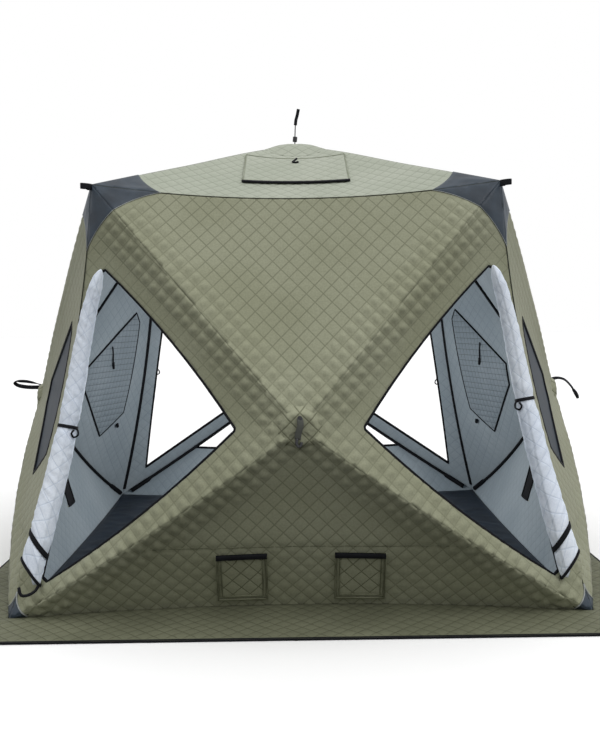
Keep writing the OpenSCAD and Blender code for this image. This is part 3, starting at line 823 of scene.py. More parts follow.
def wall_loft(flat, edge, band_puff=PUFF_BAND):
    """Padding of a wall's outside: strong along the struts and slight in between."""
    high, low = near_struts(flat)
    band = 1 - smooth(high, BAND_FROM, BAND_W)
    low_band = 1 - smooth(low, LOW_BAND_FROM, LOW_BAND_W)
    z = flat[:, 1]
    under = smooth(-z, -LOW_SEAM_Z - 0.10, -LOW_SEAM_Z + 0.02)
    middle = PUFF_WALL + (PUFF_LOW - PUFF_WALL) * under
    amount = middle + (band_puff - middle) * np.maximum(band, low_band * 0.8)
    bulge = low_bulge(flat) * smooth(edge, 0.0, 0.05)
    groove = 0.004 * np.exp(-((z - LOW_SEAM_Z) / 0.006) ** 2) * smooth(low, 0.03, 0.08)
    return (amount * puff(flat) + folds(flat)) * wall_free(flat) + bulge - groove


def side_loft(flat, edge):
    """A side wall is pulled tighter, so its padding stands out less."""
    return wall_loft(flat, edge, PUFF_SIDE)


def folds(flat):
    """Soft folds that gather at the hub and at the lower corners."""
    from_hub = flat - FLAT_HUB
    far = np.linalg.norm(from_hub, axis=1)
    angle = np.arctan2(from_hub[:, 1], from_hub[:, 0])
    total = 0.0022 * (1 + np.sin(angle * 22)) * np.exp(-((far - 0.10) / 0.06) ** 2)
    corner = np.stack([np.abs(flat[:, 0]), flat[:, 1]], 1) - FLAT_BASE
    far = np.linalg.norm(corner, axis=1)
    angle = np.arctan2(corner[:, 1], -corner[:, 0])
    return total + 0.0035 * (1 + np.sin(angle * 30)) * np.exp(-((far - 0.17) / 0.09) ** 2)


LINE_WALL, LINE_BAND = 0.62, 0.35  # strength of the stitch lines, in painted shade and bump, where the padding is flat, and full


def wall_quilting(flat, edge):
    high, low = near_struts(flat)
    band = np.maximum(1 - smooth(high, BAND_FROM, BAND_W), 1 - smooth(low, LOW_BAND_FROM, LOW_BAND_W))
    return (LINE_WALL + (LINE_BAND - LINE_WALL) * band) * wall_free(flat)


def hemmed_loft(opening, above):
    """A doorway's surround: no padding in the hem, which runs along the upper edges."""
    def loft(flat, edge):
        gap = distance(flat, opening)
        hem = smooth(gap, HEM_W - 0.012, HEM_W + 0.010)
        hem = np.where(above(flat), 0.22 + 0.78 * hem, 1) * smooth(gap, 0.004, 0.02)
        return wall_loft(flat, edge) * hem
    return loft


def hem_quilting(opening, above):
    def quilting(flat, edge):
        gap = distance(flat, opening)
        sewn = np.where(above(flat), 0.6 + 0.4 * smooth(gap, HEM_W - 0.006, HEM_W), 1.0)
        return sewn * wall_quilting(flat, edge)
    return quilting


def lining_loft(flat, edge):
    return PUFF_LINING * puff(flat) * smooth(edge, 0.0, 0.03)


def upper_side(flat):
    """True above a line through the doorway from hub to seam, where the hem is plain."""
    x = np.abs(flat[:, 0])
    return flat[:, 1] > FLAT_HUB[1] - 0.02 + (x - 0.22) * 0.05


WALL_MATS = [WALL_CLOTH, LINING, WALL_CLOTH]

for wall, turn in TURNS.items():
    padding = wall_loft if turn in (0, 2) else side_loft
    upper, lower = UPPER_QUARTER, quarter("lower", hem_tuck(turn))
    shell = layers(over(upper), [quarter_outline(upper)], padding, lining_loft, wall_quilting, turn)
    piece = cloth_piece(f"{wall}_upper_cloth", shell, WALL_MATS, "wall_olive", f"{wall}_upper_panel")
    declare_cut([[unfolded(upper, quarter_outline(upper))]])

    low_outline = quarter_outline(lower)
    if wall == "back":
        low_outline = BELOW_SILL
    shell = layers(over(lower), [low_outline], padding, lining_loft, wall_quilting, turn)
    piece = cloth_piece(f"{wall}_lower_cloth", shell, WALL_MATS, "wall_olive", f"{wall}_lower_panel")
    declare_cut([[unfolded(lower, low_outline)]])

    for side, q in ((1, RIGHT_QUARTER), (-1, LEFT_QUARTER)):
        if wall == "front":
            node, opening = ("front_right", "front_left")[side < 0] + "_door_surround", DOOR
        elif wall == "back":
            node, opening = ("back_left", "back_right")[side < 0] + "_door_surround", BACK_DOOR
        else:
            front_side = (wall == "left") == (side > 0)
            node, opening = f"{wall}_{'front' if front_side else 'back'}_panel", WINDOW
        if side < 0:
            opening = mirrored(opening)
        is_door = node.endswith("surround")
        loft = hemmed_loft(opening, upper_side) if is_door else padding
        sewn = hem_quilting(opening, upper_side) if is_door else wall_quilting
        shell = layers(over(q), [quarter_outline(q), opening], loft, lining_loft, sewn, turn)
        name = node.replace("surround", "cloth").replace("panel", "cloth")
        piece = cloth_piece(name, shell, WALL_MATS, "wall_olive", node)
        cut = [unfolded(q, quarter_outline(q)), unfolded(q, opening)]
        declare_cut([cut], strip=is_door)


# ---- Roof ------------------------------------------------------------------------

ROOF_QUARTER = quarter("roof")
ROOF_PATCHES = ((ROOF_QUARTER, True, PATCH_SEAM, PATCH_ROOF), (ROOF_QUARTER, False, PATCH_SEAM, PATCH_ROOF))
ROOF_PATCH_SHAPES = [patch_outline(*p) for p in ROOF_PATCHES]


def roof_free(flat):
    return free_of(flat, ROOF_PATCH_SHAPES)


def roof_loft(flat, edge):
    return PUFF_ROOF * puff(flat) * roof_free(flat) * smooth(edge, 0.0, 0.02)


for wall, turn in TURNS.items():
    shell = layers(over(ROOF_QUARTER), [quarter_outline(ROOF_QUARTER)], roof_loft, lining_loft,
                   lambda flat, edge: roof_free(flat), turn)
    piece = cloth_piece(f"roof_{wall}_cloth", shell, [ROOF_CLOTH, LINING, ROOF_CLOTH], "roof_olive",
                        f"roof_{wall}_panel")
    declare_cut([[unfolded(ROOF_QUARTER, quarter_outline(ROOF_QUARTER))]])

FLAP_W, FLAP_L, FLAP_FOOT, FLAP_T = 0.480, 0.340, 0.620, 0.006


vent_flap = rectangle(-FLAP_W / 2, -FLAP_FOOT, FLAP_W / 2, -FLAP_FOOT + FLAP_L)
shell = layers(over(ROOF_QUARTER), [vent_flap], roof_loft, none, lambda flat, edge: smooth(edge, 0, 0.02),
               depth=(-FLAP_T, -0.001))
piece = cloth_piece("roof_vent_cover", shell, [ROOF_CLOTH, ROOF_CLOTH, ROOF_CLOTH], "roof_olive",
                    "roof_vent_flap")
declare_cut([[vent_flap]])
sides = np.array([[-FLAP_W / 2, -FLAP_FOOT], [-FLAP_W / 2, -FLAP_FOOT + FLAP_L],
                  [FLAP_W / 2, -FLAP_FOOT + FLAP_L], [FLAP_W / 2, -FLAP_FOOT]])
shell = tape_on(ROOF_QUARTER, sides, 0.0035, 0.0030, -FLAP_T)
cloth_piece("roof_vent_edging", shell, [PALE_TAPE], "roof_olive")
foot = np.array([[-FLAP_W / 2 - 0.004, -FLAP_FOOT], [FLAP_W / 2 + 0.004, -FLAP_FOOT]])
shell = tape_on(ROOF_QUARTER, foot, 0.011, 0.0040, -FLAP_T - 0.001, square=0.5)
cloth_piece("roof_vent_bar", shell, [TAPE], "webbing_black")


# ---- Corner patches ------------------------------------------------------------------

def patch_loft(tip_flat, seed):
    """Soft folds that run out from a corner's tip."""
    def loft(flat, edge):
        away = flat - tip_flat
        far = np.linalg.norm(away, axis=1)
        angle = np.arctan2(away[:, 1], away[:, 0])
        fold = np.sin(angle * 9 + seed) * 0.5 + np.sin(angle * 17 + 2.1 * seed) * 0.3
        fold += soft_noise(flat[:, 0], flat[:, 1], 0.09, seed) * 0.5
        return 0.0028 * (fold + 0.9) * smooth(far, 0.01, 0.10) * smooth(edge, 0.0, 0.018)
    return loft


PATCH_GRID = 0.011


def square_grid(low, high, step):
    x = np.arange(low[0] + step / 2, high[0], step)
    y = np.arange(low[1] + step / 2, high[1], step)
    u, v = np.meshgrid(x, y)
    return np.stack([u.ravel(), v.ravel()], 1)


def patch_shell(q, from_a, along_seam, along_strut, flip, turn, seed):
    shape = patch_outline(q, from_a, along_seam, along_strut)
    tip_flat = (q["a"] if from_a else q["b"])[q["flat"]]
    if flip:
        shape, tip_flat = mirrored(shape), tip_flat * (-1, 1)
        q = MIRRORED[id(q)]
    if not q["hub_in"][2] and along_seam == FOOT_SEAM:
        shape = np.array([[x, max(y, FOOT_LIFT)] for x, y in shape])
        keep = np.linalg.norm(shape - np.roll(shape, 1, 0), axis=1) > 1e-5
        shape = shape[keep]
    grid = square_grid(shape.min(0), shape.max(0), PATCH_GRID)
    return layers(over(q), [shape], patch_loft(tip_flat, seed), none, none, turn,
                  (-PATCH_T, -0.0003), grid, (0.0, 0.01))


MIRRORED = {id(RIGHT_QUARTER): LEFT_QUARTER}
for wall_patch in WALL_PATCHES:
    MIRRORED.setdefault(id(wall_patch[0]), wall_patch[0])

for wall, turn in TURNS.items():
    shells = []
    for i, (q, from_a, along_seam, along_strut) in enumerate(WALL_PATCHES):
        for flip in (False, True):
            seed = i + 4 * turn + 20 * flip
            shells.append(patch_shell(q, from_a, along_seam, along_strut, flip, turn, seed))
    piece = cloth_piece(f"{wall}_patches", joined(shells), [PATCH_CLOTH] * 3, "patch_navy",
                        f"{wall}_corner_patches")
    cuts = [[unfolded(p[0], shape)] for p, shape in zip(WALL_PATCHES, PATCH_SHAPES)]
    declare_cut(cuts * 2)

shells = []
for turn in TURNS.values():
    for q, from_a, along_seam, along_strut in ROOF_PATCHES:
        shape = patch_outline(q, from_a, along_seam, along_strut)
        tip_flat = (q["a"] if from_a else q["b"])[q["flat"]]
        shells.append(layers(over(q), [shape], patch_loft(tip_flat, turn + 3 * from_a), none, none, turn,
                             (-PATCH_T, -0.0003), square_grid(shape.min(0), shape.max(0), PATCH_GRID),
                             (0.0, 0.01)))
piece = cloth_piece("roof_patches", joined(shells), [PATCH_CLOTH] * 3, "patch_navy", "roof_corner_patches")
cuts = [[unfolded(ROOF_QUARTER, shape)] for shape in ROOF_PATCH_SHAPES * 4]
declare_cut(cuts)


# ---- Floor and skirt -------------------------------------------------------------------

def hem_outline(depth):
    """Line of the walls' lower seams on the ground, moved inward by a depth."""
    out = []
    for turn in TURNS.values():
        q = quarter("lower", hem_tuck(turn))
        s = np.linspace(1, 0, 24)[:-1]
        p = skin(q, s, 1.0) + inward(q, s, np.ones(len(s))) * depth
        out.append(turned(p, turn)[:, :2])
    return np.concatenate(out)


def on_ground(height):
    def lift(flat):
        n = len(flat)
        points = np.stack([flat[:, 0], flat[:, 1], np.full(n, height)], 1)
        up = np.tile([0.0, 0.0, 1.0], (n, 1))
        return points, up, -up
    return lift


def floor_loft(flat, edge):
    x, y = flat[:, 0], flat[:, 1]
    folds = 1 - np.abs(soft_noise(x, y, 0.34, 5))
    ripples = soft_noise(x, y, 0.12, 8)
    return (0.0055 * np.clip(folds, 0, 1) ** 3 + 0.0012 * (ripples + 1)) * smooth(edge, 0, 0.06)


outline = hem_outline(CLOTH + 0.001)
shell = layers(on_ground(FLOOR_T), [outline], floor_loft, none, none, depth=(0.0, FLOOR_T),
               grid=square_grid(outline.min(0), outline.max(0), 0.022))
piece = cloth_piece("floor_cloth", shell, [FLOOR_CLOTH] * 3, "floor_navy", "floor")
declare_cut([[outline]])

SKIRT_PUFF = 0.0028
WORLD_HEM = hem_outline(-0.004)


def skirt_loft(flat, edge):
    x, y = flat[:, 0], flat[:, 1]
    waves = 0.0022 * (soft_noise(x, y, 0.30, 11) + 1)
    return (SKIRT_PUFF * puff(flat) + waves) * smooth(edge, 0.0, 0.035)


reach = SKIRT_REACH
around = rectangle(-reach, -reach, reach, reach)
shell = layers(on_ground(SKIRT_T), [around, WORLD_HEM], skirt_loft, none,
               lambda flat, edge: smooth(edge, 0.01, 0.02), depth=(0.0, SKIRT_T - 0.001))
piece = cloth_piece("skirt_cloth", shell, [SKIRT_CLOTH, SKIRT_CLOTH, TAPE], "skirt_olive", "snow_skirt")
declare_cut([[around, WORLD_HEM]])
shell = sweep(np.array([[*p, SKIRT_T - 0.003] for p in even(around * (1 - 0.006 / reach), 0.05)]),
              np.tile([0.0, 0, 1], (len(even(around, 0.05)), 1)), 0.0065, 0.0045, True, 8, 0.6)
cloth_piece("skirt_binding", shell, [TAPE], "webbing_black")


# ---- Bindings and seams --------------------------------------------------------------------

def both_sides(line):
    return ((RIGHT_QUARTER, line), (LEFT_QUARTER, mirrored(line)))


for wall, opening, half in (("front", DOOR, 0.0062), ("back", BACK_DOOR, 0.0085)):
    shells = [tape_on(q, line, half, 0.0068, CLOTH / 2, True, TURNS[wall], 0.8, 0.012)
              for q, line in both_sides(opening)]
    if wall == "back":
        sill = even(np.array([BELOW_SILL[29], BELOW_SILL[30]]), 0.02, False)
        shells.append(tape_on(quarter("lower"), sill, half, 0.0068, CLOTH / 2, False, 2, 0.8))
    cloth_piece(f"{wall}_doorway_binding", joined(shells), [TAPE], "webbing_black")

for wall, turn in TURNS.items():
    eave = seam_line(UPPER_QUARTER)
    shell = tape_on(UPPER_QUARTER, eave, 0.0028, 0.0028, 0.0, False, turn)
    cloth_piece(f"{wall}_eave_seam", shell, [DARK_SEAM], "wall_olive")
    side = seam_line(RIGHT_QUARTER)
    shell = tape_on(RIGHT_QUARTER, side[:-1], 0.0030, 0.0030, 0.0, False, turn)
    cloth_piece(f"{wall}_corner_seam", shell, [DARK_SEAM], "wall_olive")
    shell = tape_on(RIGHT_QUARTER, side[:-1], 0.011, 0.004, CLOTH + 0.003, False, turn)
    cloth_piece(f"{wall}_corner_tape", shell, [TAPE], "webbing_black")


# ---- Windows ---------------------------------------------------------------------------

RIB = 0.034  # between the rows of a window flap


def flap_loft(flat, edge):
    """Ribs across a window's flap."""
    rows = np.abs(np.sin(np.pi * flat[:, 1] / RIB)) ** 0.8
    ribs = rows * np.abs(np.sin(np.pi * flat[:, 0] / RIB)) ** 0.6
    return 0.0060 * ribs * smooth(edge, 0.006, 0.03)


def straight_lines(shell):
    """Turns a shell's stitched lattice, which lies at 45 degrees, into upright rows RIB apart."""
    half = math.sqrt(0.5)
    shell["flat"] = shell["flat"] @ np.array([[half, half], [-half, half]]) * (QUILT / RIB)
    return shell


for wall in ("left", "right"):
    turn = TURNS[wall]
    films, flaps, zips, rims = [], [], [], []
    for q, flip in ((RIGHT_QUARTER, False), (LEFT_QUARTER, True)):
        shape, window = (mirrored(FLAP), mirrored(WINDOW)) if flip else (FLAP, WINDOW)
        grid = square_grid(window.min(0), window.max(0), 0.03)
        films.append(layers(over(q), [window], none, none, none, turn, (0.003, 0.005), grid))
        grid = square_grid(shape.min(0), shape.max(0), RIB / 4)
        flap = layers(over(q), [shape], none, flap_loft, lambda flat, edge: smooth(edge, 0.004, 0.01), turn,
                      (CLOTH + 0.0005, CLOTH + 0.0045), grid)
        flaps.append(straight_lines(flap))
        zips.append(tape_on(q, shape, 0.0055, 0.0040, CLOTH + 0.003, True, turn, 0.8))
        rims.append(tape_on(q, window, 0.0080, 0.0060, CLOTH / 2 - 0.002, True, turn, 0.8))
    piece = cloth_piece(f"{wall}_window_film", joined(films), [FILM] * 3, "window_film", f"{wall}_windows")
    # The film's cut edge is square, so it isn't shaded as part of its face
    bpy.ops.object.select_all(action="DESELECT")
    piece.select_set(True)
    bpy.context.view_layer.objects.active = piece
    bpy.ops.object.shade_smooth_by_angle(angle=math.radians(35))
    declare_cut([[unfolded(RIGHT_QUARTER, WINDOW)]] * 2)
    piece = cloth_piece(f"{wall}_flap_cloth", joined(flaps), [FLAP_LINING] * 3, "lining_grey",
                        f"{wall}_window_flaps")
    declare_cut([[unfolded(RIGHT_QUARTER, FLAP)]] * 2)
    cloth_piece(f"{wall}_flap_zips", joined(zips), [TAPE], "webbing_black")
    cloth_piece(f"{wall}_window_rims", joined(rims), [TAPE], "webbing_black")


# ---- Vents ---------------------------------------------------------------------------------

VENT_W, VENT_H, VENT_X = 0.195, 0.206, 0.235
FRONT_VENT_Z, SIDE_VENT_Z = 0.044, 0.190


VENT_RISE = 0.006  # of a pocket's face over the panel behind it


def vent_loft(flat, edge):
    return low_bulge(flat) + VENT_RISE + PUFF_WALL * 2.2 * puff(flat) * smooth(edge, 0.0, 0.02)


def vent(q, x, z, turn):
    """A pocket with a stiff opening along its top, framed by tape."""
    shape = rectangle(x - VENT_W / 2, z, x + VENT_W / 2, z + VENT_H)
    body = layers(over(q), [shape], vent_loft, none, lambda flat, edge: smooth(edge, 0.01, 0.02), turn)
    frame_line = np.array([[x - VENT_W / 2, z + VENT_H], [x - VENT_W / 2, z], [x + VENT_W / 2, z],
                           [x + VENT_W / 2, z + VENT_H]])
    edging = raised_line(q, frame_line, 0.0040, turn, low_bulge, VENT_RISE)
    inner = shape + (shape.mean(0) - shape) * 0.16
    edging_2 = raised_line(q, inner[[3, 0, 1, 2]], 0.0024, turn, low_bulge, VENT_RISE + 0.001)
    top = np.array([[x - VENT_W / 2 - 0.003, z + VENT_H], [x + VENT_W / 2 + 0.003, z + VENT_H]])
    lip = raised_line(q, top, (0.012, 0.006), turn, low_bulge, VENT_RISE + 0.004)
    return body, [edging, edging_2], lip


pockets, edgings, lips = [], [], []
front_lower, side_lower = quarter("lower"), quarter("lower", SIDE_HEM_TUCK)
for q, x, z, turn in ((front_lower, -VENT_X, FRONT_VENT_Z, 0), (front_lower, VENT_X, FRONT_VENT_Z, 0),
                      (side_lower, 0.0, SIDE_VENT_Z, 1), (side_lower, 0.0, SIDE_VENT_Z, 3)):
    body, edging, lip = vent(q, x, z, turn)
    pockets.append(body)
    edgings += edging
    lips.append(lip)
cloth_piece("vent_pockets", joined(pockets), [WALL_CLOTH] * 3, "wall_olive", "vents")
cloth_piece("vent_edging", joined(edgings), [OLIVE_TAPE], "wall_olive")
cloth_piece("vent_lips", joined(lips), [TAPE], "webbing_black")

# Inside, each side wall's vent has a dark mesh in a taped frame
meshes, tapes = [], []
for turn in (1, 3):
    shape = rectangle(-0.055, SIDE_VENT_Z + 0.01, 0.055, SIDE_VENT_Z + 0.17)
    meshes.append(layers(over(side_lower), [shape], none, none, none, turn, (CLOTH, CLOTH + 0.003),
                         square_grid(shape.min(0), shape.max(0), 0.02)))
    tapes.append(tape_on(side_lower, shape, 0.007, 0.005, CLOTH + 0.002, True, turn, 0.7))
cloth_piece("side_vent_meshes", joined(meshes), [TAPE] * 3, "webbing_black")
cloth_piece("side_vent_tapes", joined(tapes), [TAPE], "webbing_black")


# ---- Rolled doors -----------------------------------------------------------------------

ROLL_S0, ROLL_S1, ROLL_T, ROLL_T_TOP, ROLL_TURN = 0.175, 0.915, 0.955, 0.915, 0.3
ROLL_R_TOP, ROLL_R_LOW, ROLL_CLEAR = 0.026, 0.050, 0.003
ROLL_RINGS, ROLL_SIDES = 190, 56
TIE_AT = {1: 0.47, -1: 0.54}  # the right-hand door is tied a little higher
BAND_AT = 0.90
ROLL_END = 0.985  # the roll stops this far down its line


def roll_radius(k):
    return ROLL_R_TOP + (ROLL_R_LOW - ROLL_R_TOP) * np.clip(k, 0, 1) ** 0.8


def roll_axis(k):
    k = np.asarray(k, float)
    turned_in = 1 - (1 - np.minimum(1, k / ROLL_TURN)) ** 2
    line = skin(RIGHT_QUARTER, ROLL_S0 + (ROLL_S1 - ROLL_S0) * k,
                ROLL_T_TOP + (ROLL_T - ROLL_T_TOP) * turned_in)
    return line - np.array([0, 1, 0]) * (roll_radius(k) + ROLL_CLEAR)[..., None]


def roll_frame(k):
    p = roll_axis(k)
    ahead = roll_axis(k + 0.01) - roll_axis(k - 0.01)
    ahead /= np.linalg.norm(ahead, axis=-1)[..., None]
    across = np.cross(ahead, [0, 1, 0.01])
    across /= np.linalg.norm(across, axis=-1)[..., None]
    return p, ahead, across, np.cross(ahead, across)


ROLL_SLANT = 0.042  # the lower end is cut on a slant, longer towards the doorway


def slant(k, g):
    """How far down a point of the roll is moved by its slanted lower end."""
    return -ROLL_SLANT * np.cos(g) * smooth(k, 0.70, 0.93)


def roll_section(k, side):
    """Width and depth of a roll's section, as shares of its radius, drawn in under its straps."""
    tie = 0.13 * np.exp(-((k - TIE_AT[side]) / 0.025) ** 2)
    band = 0.10 * np.exp(-((k - BAND_AT) / 0.02) ** 2)
    wide = 1 + 0.05 * np.sin(np.pi * k)
    deep = 1 - 0.10 * np.sin(np.pi * k) - 0.25 * smooth(k, 0.90, ROLL_END)
    return wide * (1 - tie - band), deep * (1 - tie - band)


def roll_shell(side, turn, seed):
    k = np.linspace(0, ROLL_END, ROLL_RINGS)
    p, ahead, across, out = roll_frame(k)
    far = np.concatenate([[0], np.cumsum(np.linalg.norm(np.diff(p, axis=0), axis=1))])
    g = np.arange(ROLL_SIDES) * 2 * np.pi / ROLL_SIDES - np.pi / 2  # the pattern meets by the wall
    kk, gg = np.meshgrid(k, g, indexing="ij")
    r = roll_radius(kk)
    x, y = far[:, None] + 0 * gg, (gg + np.pi / 2) * 0.042
    pattern = np.stack([x.ravel(), y.ravel()], 1)
    quilts = puff(pattern * 0.9).reshape(kk.shape)
    # Wrinkles wind round the roll; their noise is taken on a circle, so that it meets itself
    ring_x, ring_y = 0.05 * np.cos(gg), 0.05 * np.sin(gg)
    wrinkle = soft_noise(x * 1.6 + ring_x, ring_y - x * 0.5, 0.050, seed)
    lumps = soft_noise(x + ring_x, ring_y, 0.17, seed + 1)
    # The last turn of the cloth ends in a step along the roll
    step = 0.004 * np.mod((gg - 1.9 + 0.25 * np.sin(kk * 5)) / (2 * np.pi), 1.0)
    r = r * (1 + 0.030 * lumps) + 0.0012 * quilts + 0.0011 * wrinkle + step - 0.003
    thin = np.clip(0.25 + kk / 0.10, 0, 1)
    ends = np.sqrt(np.clip(1 - (1 - np.minimum(kk / 0.05, 1)) ** 2, 0.03, 1)) * (0.55 + 0.45 * thin)
    ends = ends * np.sqrt(np.clip(1 - (1 - np.minimum((ROLL_END - kk) / 0.008, 1)) ** 2, 0.25, 1))
    r = r * ends
    wide, deep = roll_section(kk, side)
    verts = (p[:, None] + across[:, None] * (r * wide * np.cos(gg))[..., None]
             + out[:, None] * (r * deep * np.sin(gg))[..., None]
             + ahead[:, None] * slant(kk, gg)[..., None]).reshape(-1, 3)
    n = ROLL_SIDES
    faces = []
    for i in range(ROLL_RINGS - 1):
        for j in range(n):
            m = (j + 1) % n
            faces.append([i * n + j, i * n + m, (i + 1) * n + m, (i + 1) * n + j])
    faces.append([j for j in reversed(range(n))])
    faces.append([(ROLL_RINGS - 1) * n + j for j in range(n)])
    verts = verts * (side, 1, 1)
    if side < 0:
        faces = [f[::-1] for f in faces]
    verts = turned(verts, turn)
    return {"verts": verts, "faces": faces, "slots": [0] * len(faces), "flat": pattern,
            "quilting": np.full(len(verts), 0.6)}


def ring_round_roll(side, turn, k, wide, lift, thick):
    """A strap that goes once round a rolled door, slanting as the roll's end does."""
    p, ahead, across, out = roll_frame(np.array([k]))
    g = np.linspace(0, 2 * np.pi, 41)[:-1]
    wide_by, deep_by = roll_section(k, side)
    r = roll_radius(k)
    path = (p + across * ((r * wide_by + lift) * np.cos(g))[:, None]
            + out * ((r * deep_by + lift) * np.sin(g))[:, None])
    up = path - p
    path = path + ahead * slant(k, g)[:, None]
    shell = sweep(path * (side, 1, 1), up * (side, 1, 1), wide / 2, thick / 2, True, 8, 0.5)
    shell["verts"] = turned(shell["verts"], turn)
    return shell


def near_roll(side, turn, k, offsets):
    """Points beside a rolled door: out from its middle, outward from the wall and down, in metres."""
    p, ahead, across, _ = roll_frame(np.array([k]))
    pts = [p[0] + across[0] * a - np.array([0, 1, 0]) * o + ahead[0] * d for a, o, d in offsets]
    return turned(np.array(pts) * (side, 1, 1), turn)


def cord_piece(points, radius, sides=8, turn=0, step=None):
    """A thin tube through points, rounded by a smooth curve."""
    pts = smooth_path(points, step or radius * 2.2)
    up = np.tile([0.0, -1.0, 0.13], (len(pts), 1))
    ahead = np.gradient(pts, axis=0)
    ahead /= np.linalg.norm(ahead, axis=1)[:, None]
    up[np.abs((ahead * up).sum(1)) > 0.9] = (1.0, 0.1, 0.0)
    return sweep(pts, up, radius, radius, False, sides, 1.0, turn)


def smooth_path(points, step):
    """A smooth curve through points, as points a step apart."""
    p = np.asarray(points, float)
    p = np.concatenate([[2 * p[0] - p[1]], p, [2 * p[-1] - p[-2]]])
    out = []
    for a, b, c, d in zip(p, p[1:], p[2:], p[3:]):
        n = max(2, int(np.linalg.norm(c - b) / step) + 1)
        t = np.linspace(0, 1, n, endpoint=False)[:, None]
        out.append(0.5 * (2 * b + (c - a) * t + (2 * a - 5 * b + 4 * c - d) * t ** 2
                          + (3 * b - a - 3 * c + d) * t ** 3))
    return np.concatenate(out + [p[-2:-1]])


for wall, node_side in (("front", 1), ("back", -1)):
    for side in (1, -1):
        word = "right" if side * node_side > 0 else "left"
        shell = roll_shell(side, TURNS[wall], 31 + side + 7 * node_side)
        piece = cloth_piece(f"{wall}_{word}_roll", shell, [WHITE_LINING], "roll_white",
                            f"{wall}_{word}_door_roll")

ties, bands, hooks = [], [], []
for wall in ("front", "back"):
    turn = TURNS[wall]
    for side in (1, -1):
        at = TIE_AT[side]
        ties.append(ring_round_roll(side, turn, at, 0.014, 0.0030, 0.004))
        r = roll_radius(at)
        loop = [(-r * 0.9, 0.012, 0), (-r - 0.006, 0.016, 0.008), (-r - 0.010, 0.018, 0.024),
                (-r + 0.004, 0.022, 0.034), (-r + 0.014, 0.034, 0.018), (-r + 0.006, 0.038, 0.004)]
        ties.append(cord_piece(near_roll(side, turn, at, loop), 0.0040))
        bands.append(ring_round_roll(side, turn, BAND_AT, 0.020, 0.0040, 0.0045))
        bands.append(ring_round_roll(side, turn, 0.982, 0.011, 0.0010, 0.006))
        if (wall, side) == ("front", 1):
            continue  # this door's loop is tucked in behind the roll
        low = [(-0.045, 0.008, 0.034), (-0.042, 0.022, 0.052), (-0.024, 0.028, 0.070), (0.004, 0.03, 0.078),
               (0.022, 0.03, 0.052)]
        hooks.append(cord_piece(near_roll(side, turn, ROLL_END, low), 0.0060))
cloth_piece("roll_ties", joined(ties), [WEBBING], "webbing_black", "door_ties")
cloth_piece("roll_bands", joined(bands), [TAPE], "webbing_black")
cloth_piece("roll_hooks", joined(hooks), [WEBBING], "webbing_black")


# ---- Frames, hubs and straps --------------------------------------------------------------

for name in ("front_frame", "back_frame", "left_frame", "right_frame", "roof_frame"):
    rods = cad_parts[name]
    rods.data.materials.clear()
    rods.data.materials.append(ROD)

SLEEVE_R, POCKET_R = 0.0095, 0.014


def strut_sleeves(q, s, turn):
    """Black sleeve sewn over a strut inside the wall, with a thicker pocket at its far end."""
    t = np.linspace(0.02, 0.96, 70)
    r = SLEEVE_R + (POCKET_R - SLEEVE_R) * smooth(t, 0.85, 0.87)
    path = skin(dict(q, dome=0.0), s, t) + inward(q, s, t) * (CLOTH + r)[:, None]
    up = -inward(q, s, t)
    return sweep(path, up, r, r * 0.9, False, 10, 0.9, turn)


for wall, turn in TURNS.items():
    upper, lower = UPPER_QUARTER, quarter("lower")
    sleeves = [strut_sleeves(q, s, turn) for q in (upper, lower) for s in (0.0, 1.0)]
    cloth_piece(f"{wall}_strut_sleeves", joined(sleeves), [TAPE], "webbing_black")
sleeves = [strut_sleeves(ROOF_QUARTER, 0.0, turn) for turn in TURNS.values()]
cloth_piece("roof_strut_sleeves", joined(sleeves), [TAPE], "webbing_black")

HUB_FLAT_R, HUB_COVER_R, CROWN_R = 0.054, 0.084, 0.220


def over_wall(flat):
    """Points of a whole wall, each on the quarter that it falls in."""
    x, z = flat[:, 0], flat[:, 1] - HUB_Z
    high = z * HALF_TOP > np.abs(x) * (EAVE_Z - HUB_Z)
    low = -z * HALF_BASE > np.abs(x) * HUB_Z
    parts = ((high, UPPER_QUARTER), (low, quarter("lower")), (~high & ~low & (x > 0), RIGHT_QUARTER),
             (~high & ~low & (x <= 0), LEFT_QUARTER))
    points, normal, way = (np.full((len(flat), 3), np.nan) for _ in range(3))
    for mask, q in parts:
        if mask.any():
            points[mask], normal[mask], way[mask] = surface(q, flat[mask])
    assert np.isfinite(points).all(), "a point of the wall is on no quarter"
    return points, normal, way


def over_roof(flat):
    """Points of the whole roof, each on the quarter that it falls in."""
    points = np.full((len(flat), 3), np.nan)
    x, y = flat.T
    front, right, left = -y >= np.abs(x), x > np.abs(y), -x > np.abs(y)
    back = ~front & ~right & ~left
    for turn, mask in enumerate((front, right, back, left)):
        if mask.any():
            here = turned(np.stack([x[mask], y[mask], 0 * x[mask]], 1), (4 - turn) % 4)[:, :2]
            points[mask] = turned(surface(ROOF_QUARTER, here)[0], turn)
    assert np.isfinite(points).all(), "a point of the roof is on no quarter"
    return points


def hub_cover(flat):
    """Cloth drawn over a wall's hub: flat over the disc, gathered, and sewn down round it."""
    from_hub = flat - FLAT_HUB
    r = np.linalg.norm(from_hub, axis=1)
    points = over_wall(flat)[0]
    share = smooth(r, HUB_FLAT_R, HUB_COVER_R)
    gathers = 0.0008 * np.sin(np.arctan2(*from_hub.T) * 13) * smooth(r, 0.012, 0.05)
    stands = (HUB_OUT + 0.0040) * (1 - share) + (0.003 - points[:, 1]) * share + gathers
    points[:, 1] = -stands
    way = np.tile([0.0, 1.0, 0.0], (len(flat), 1))
    return points, -way, way


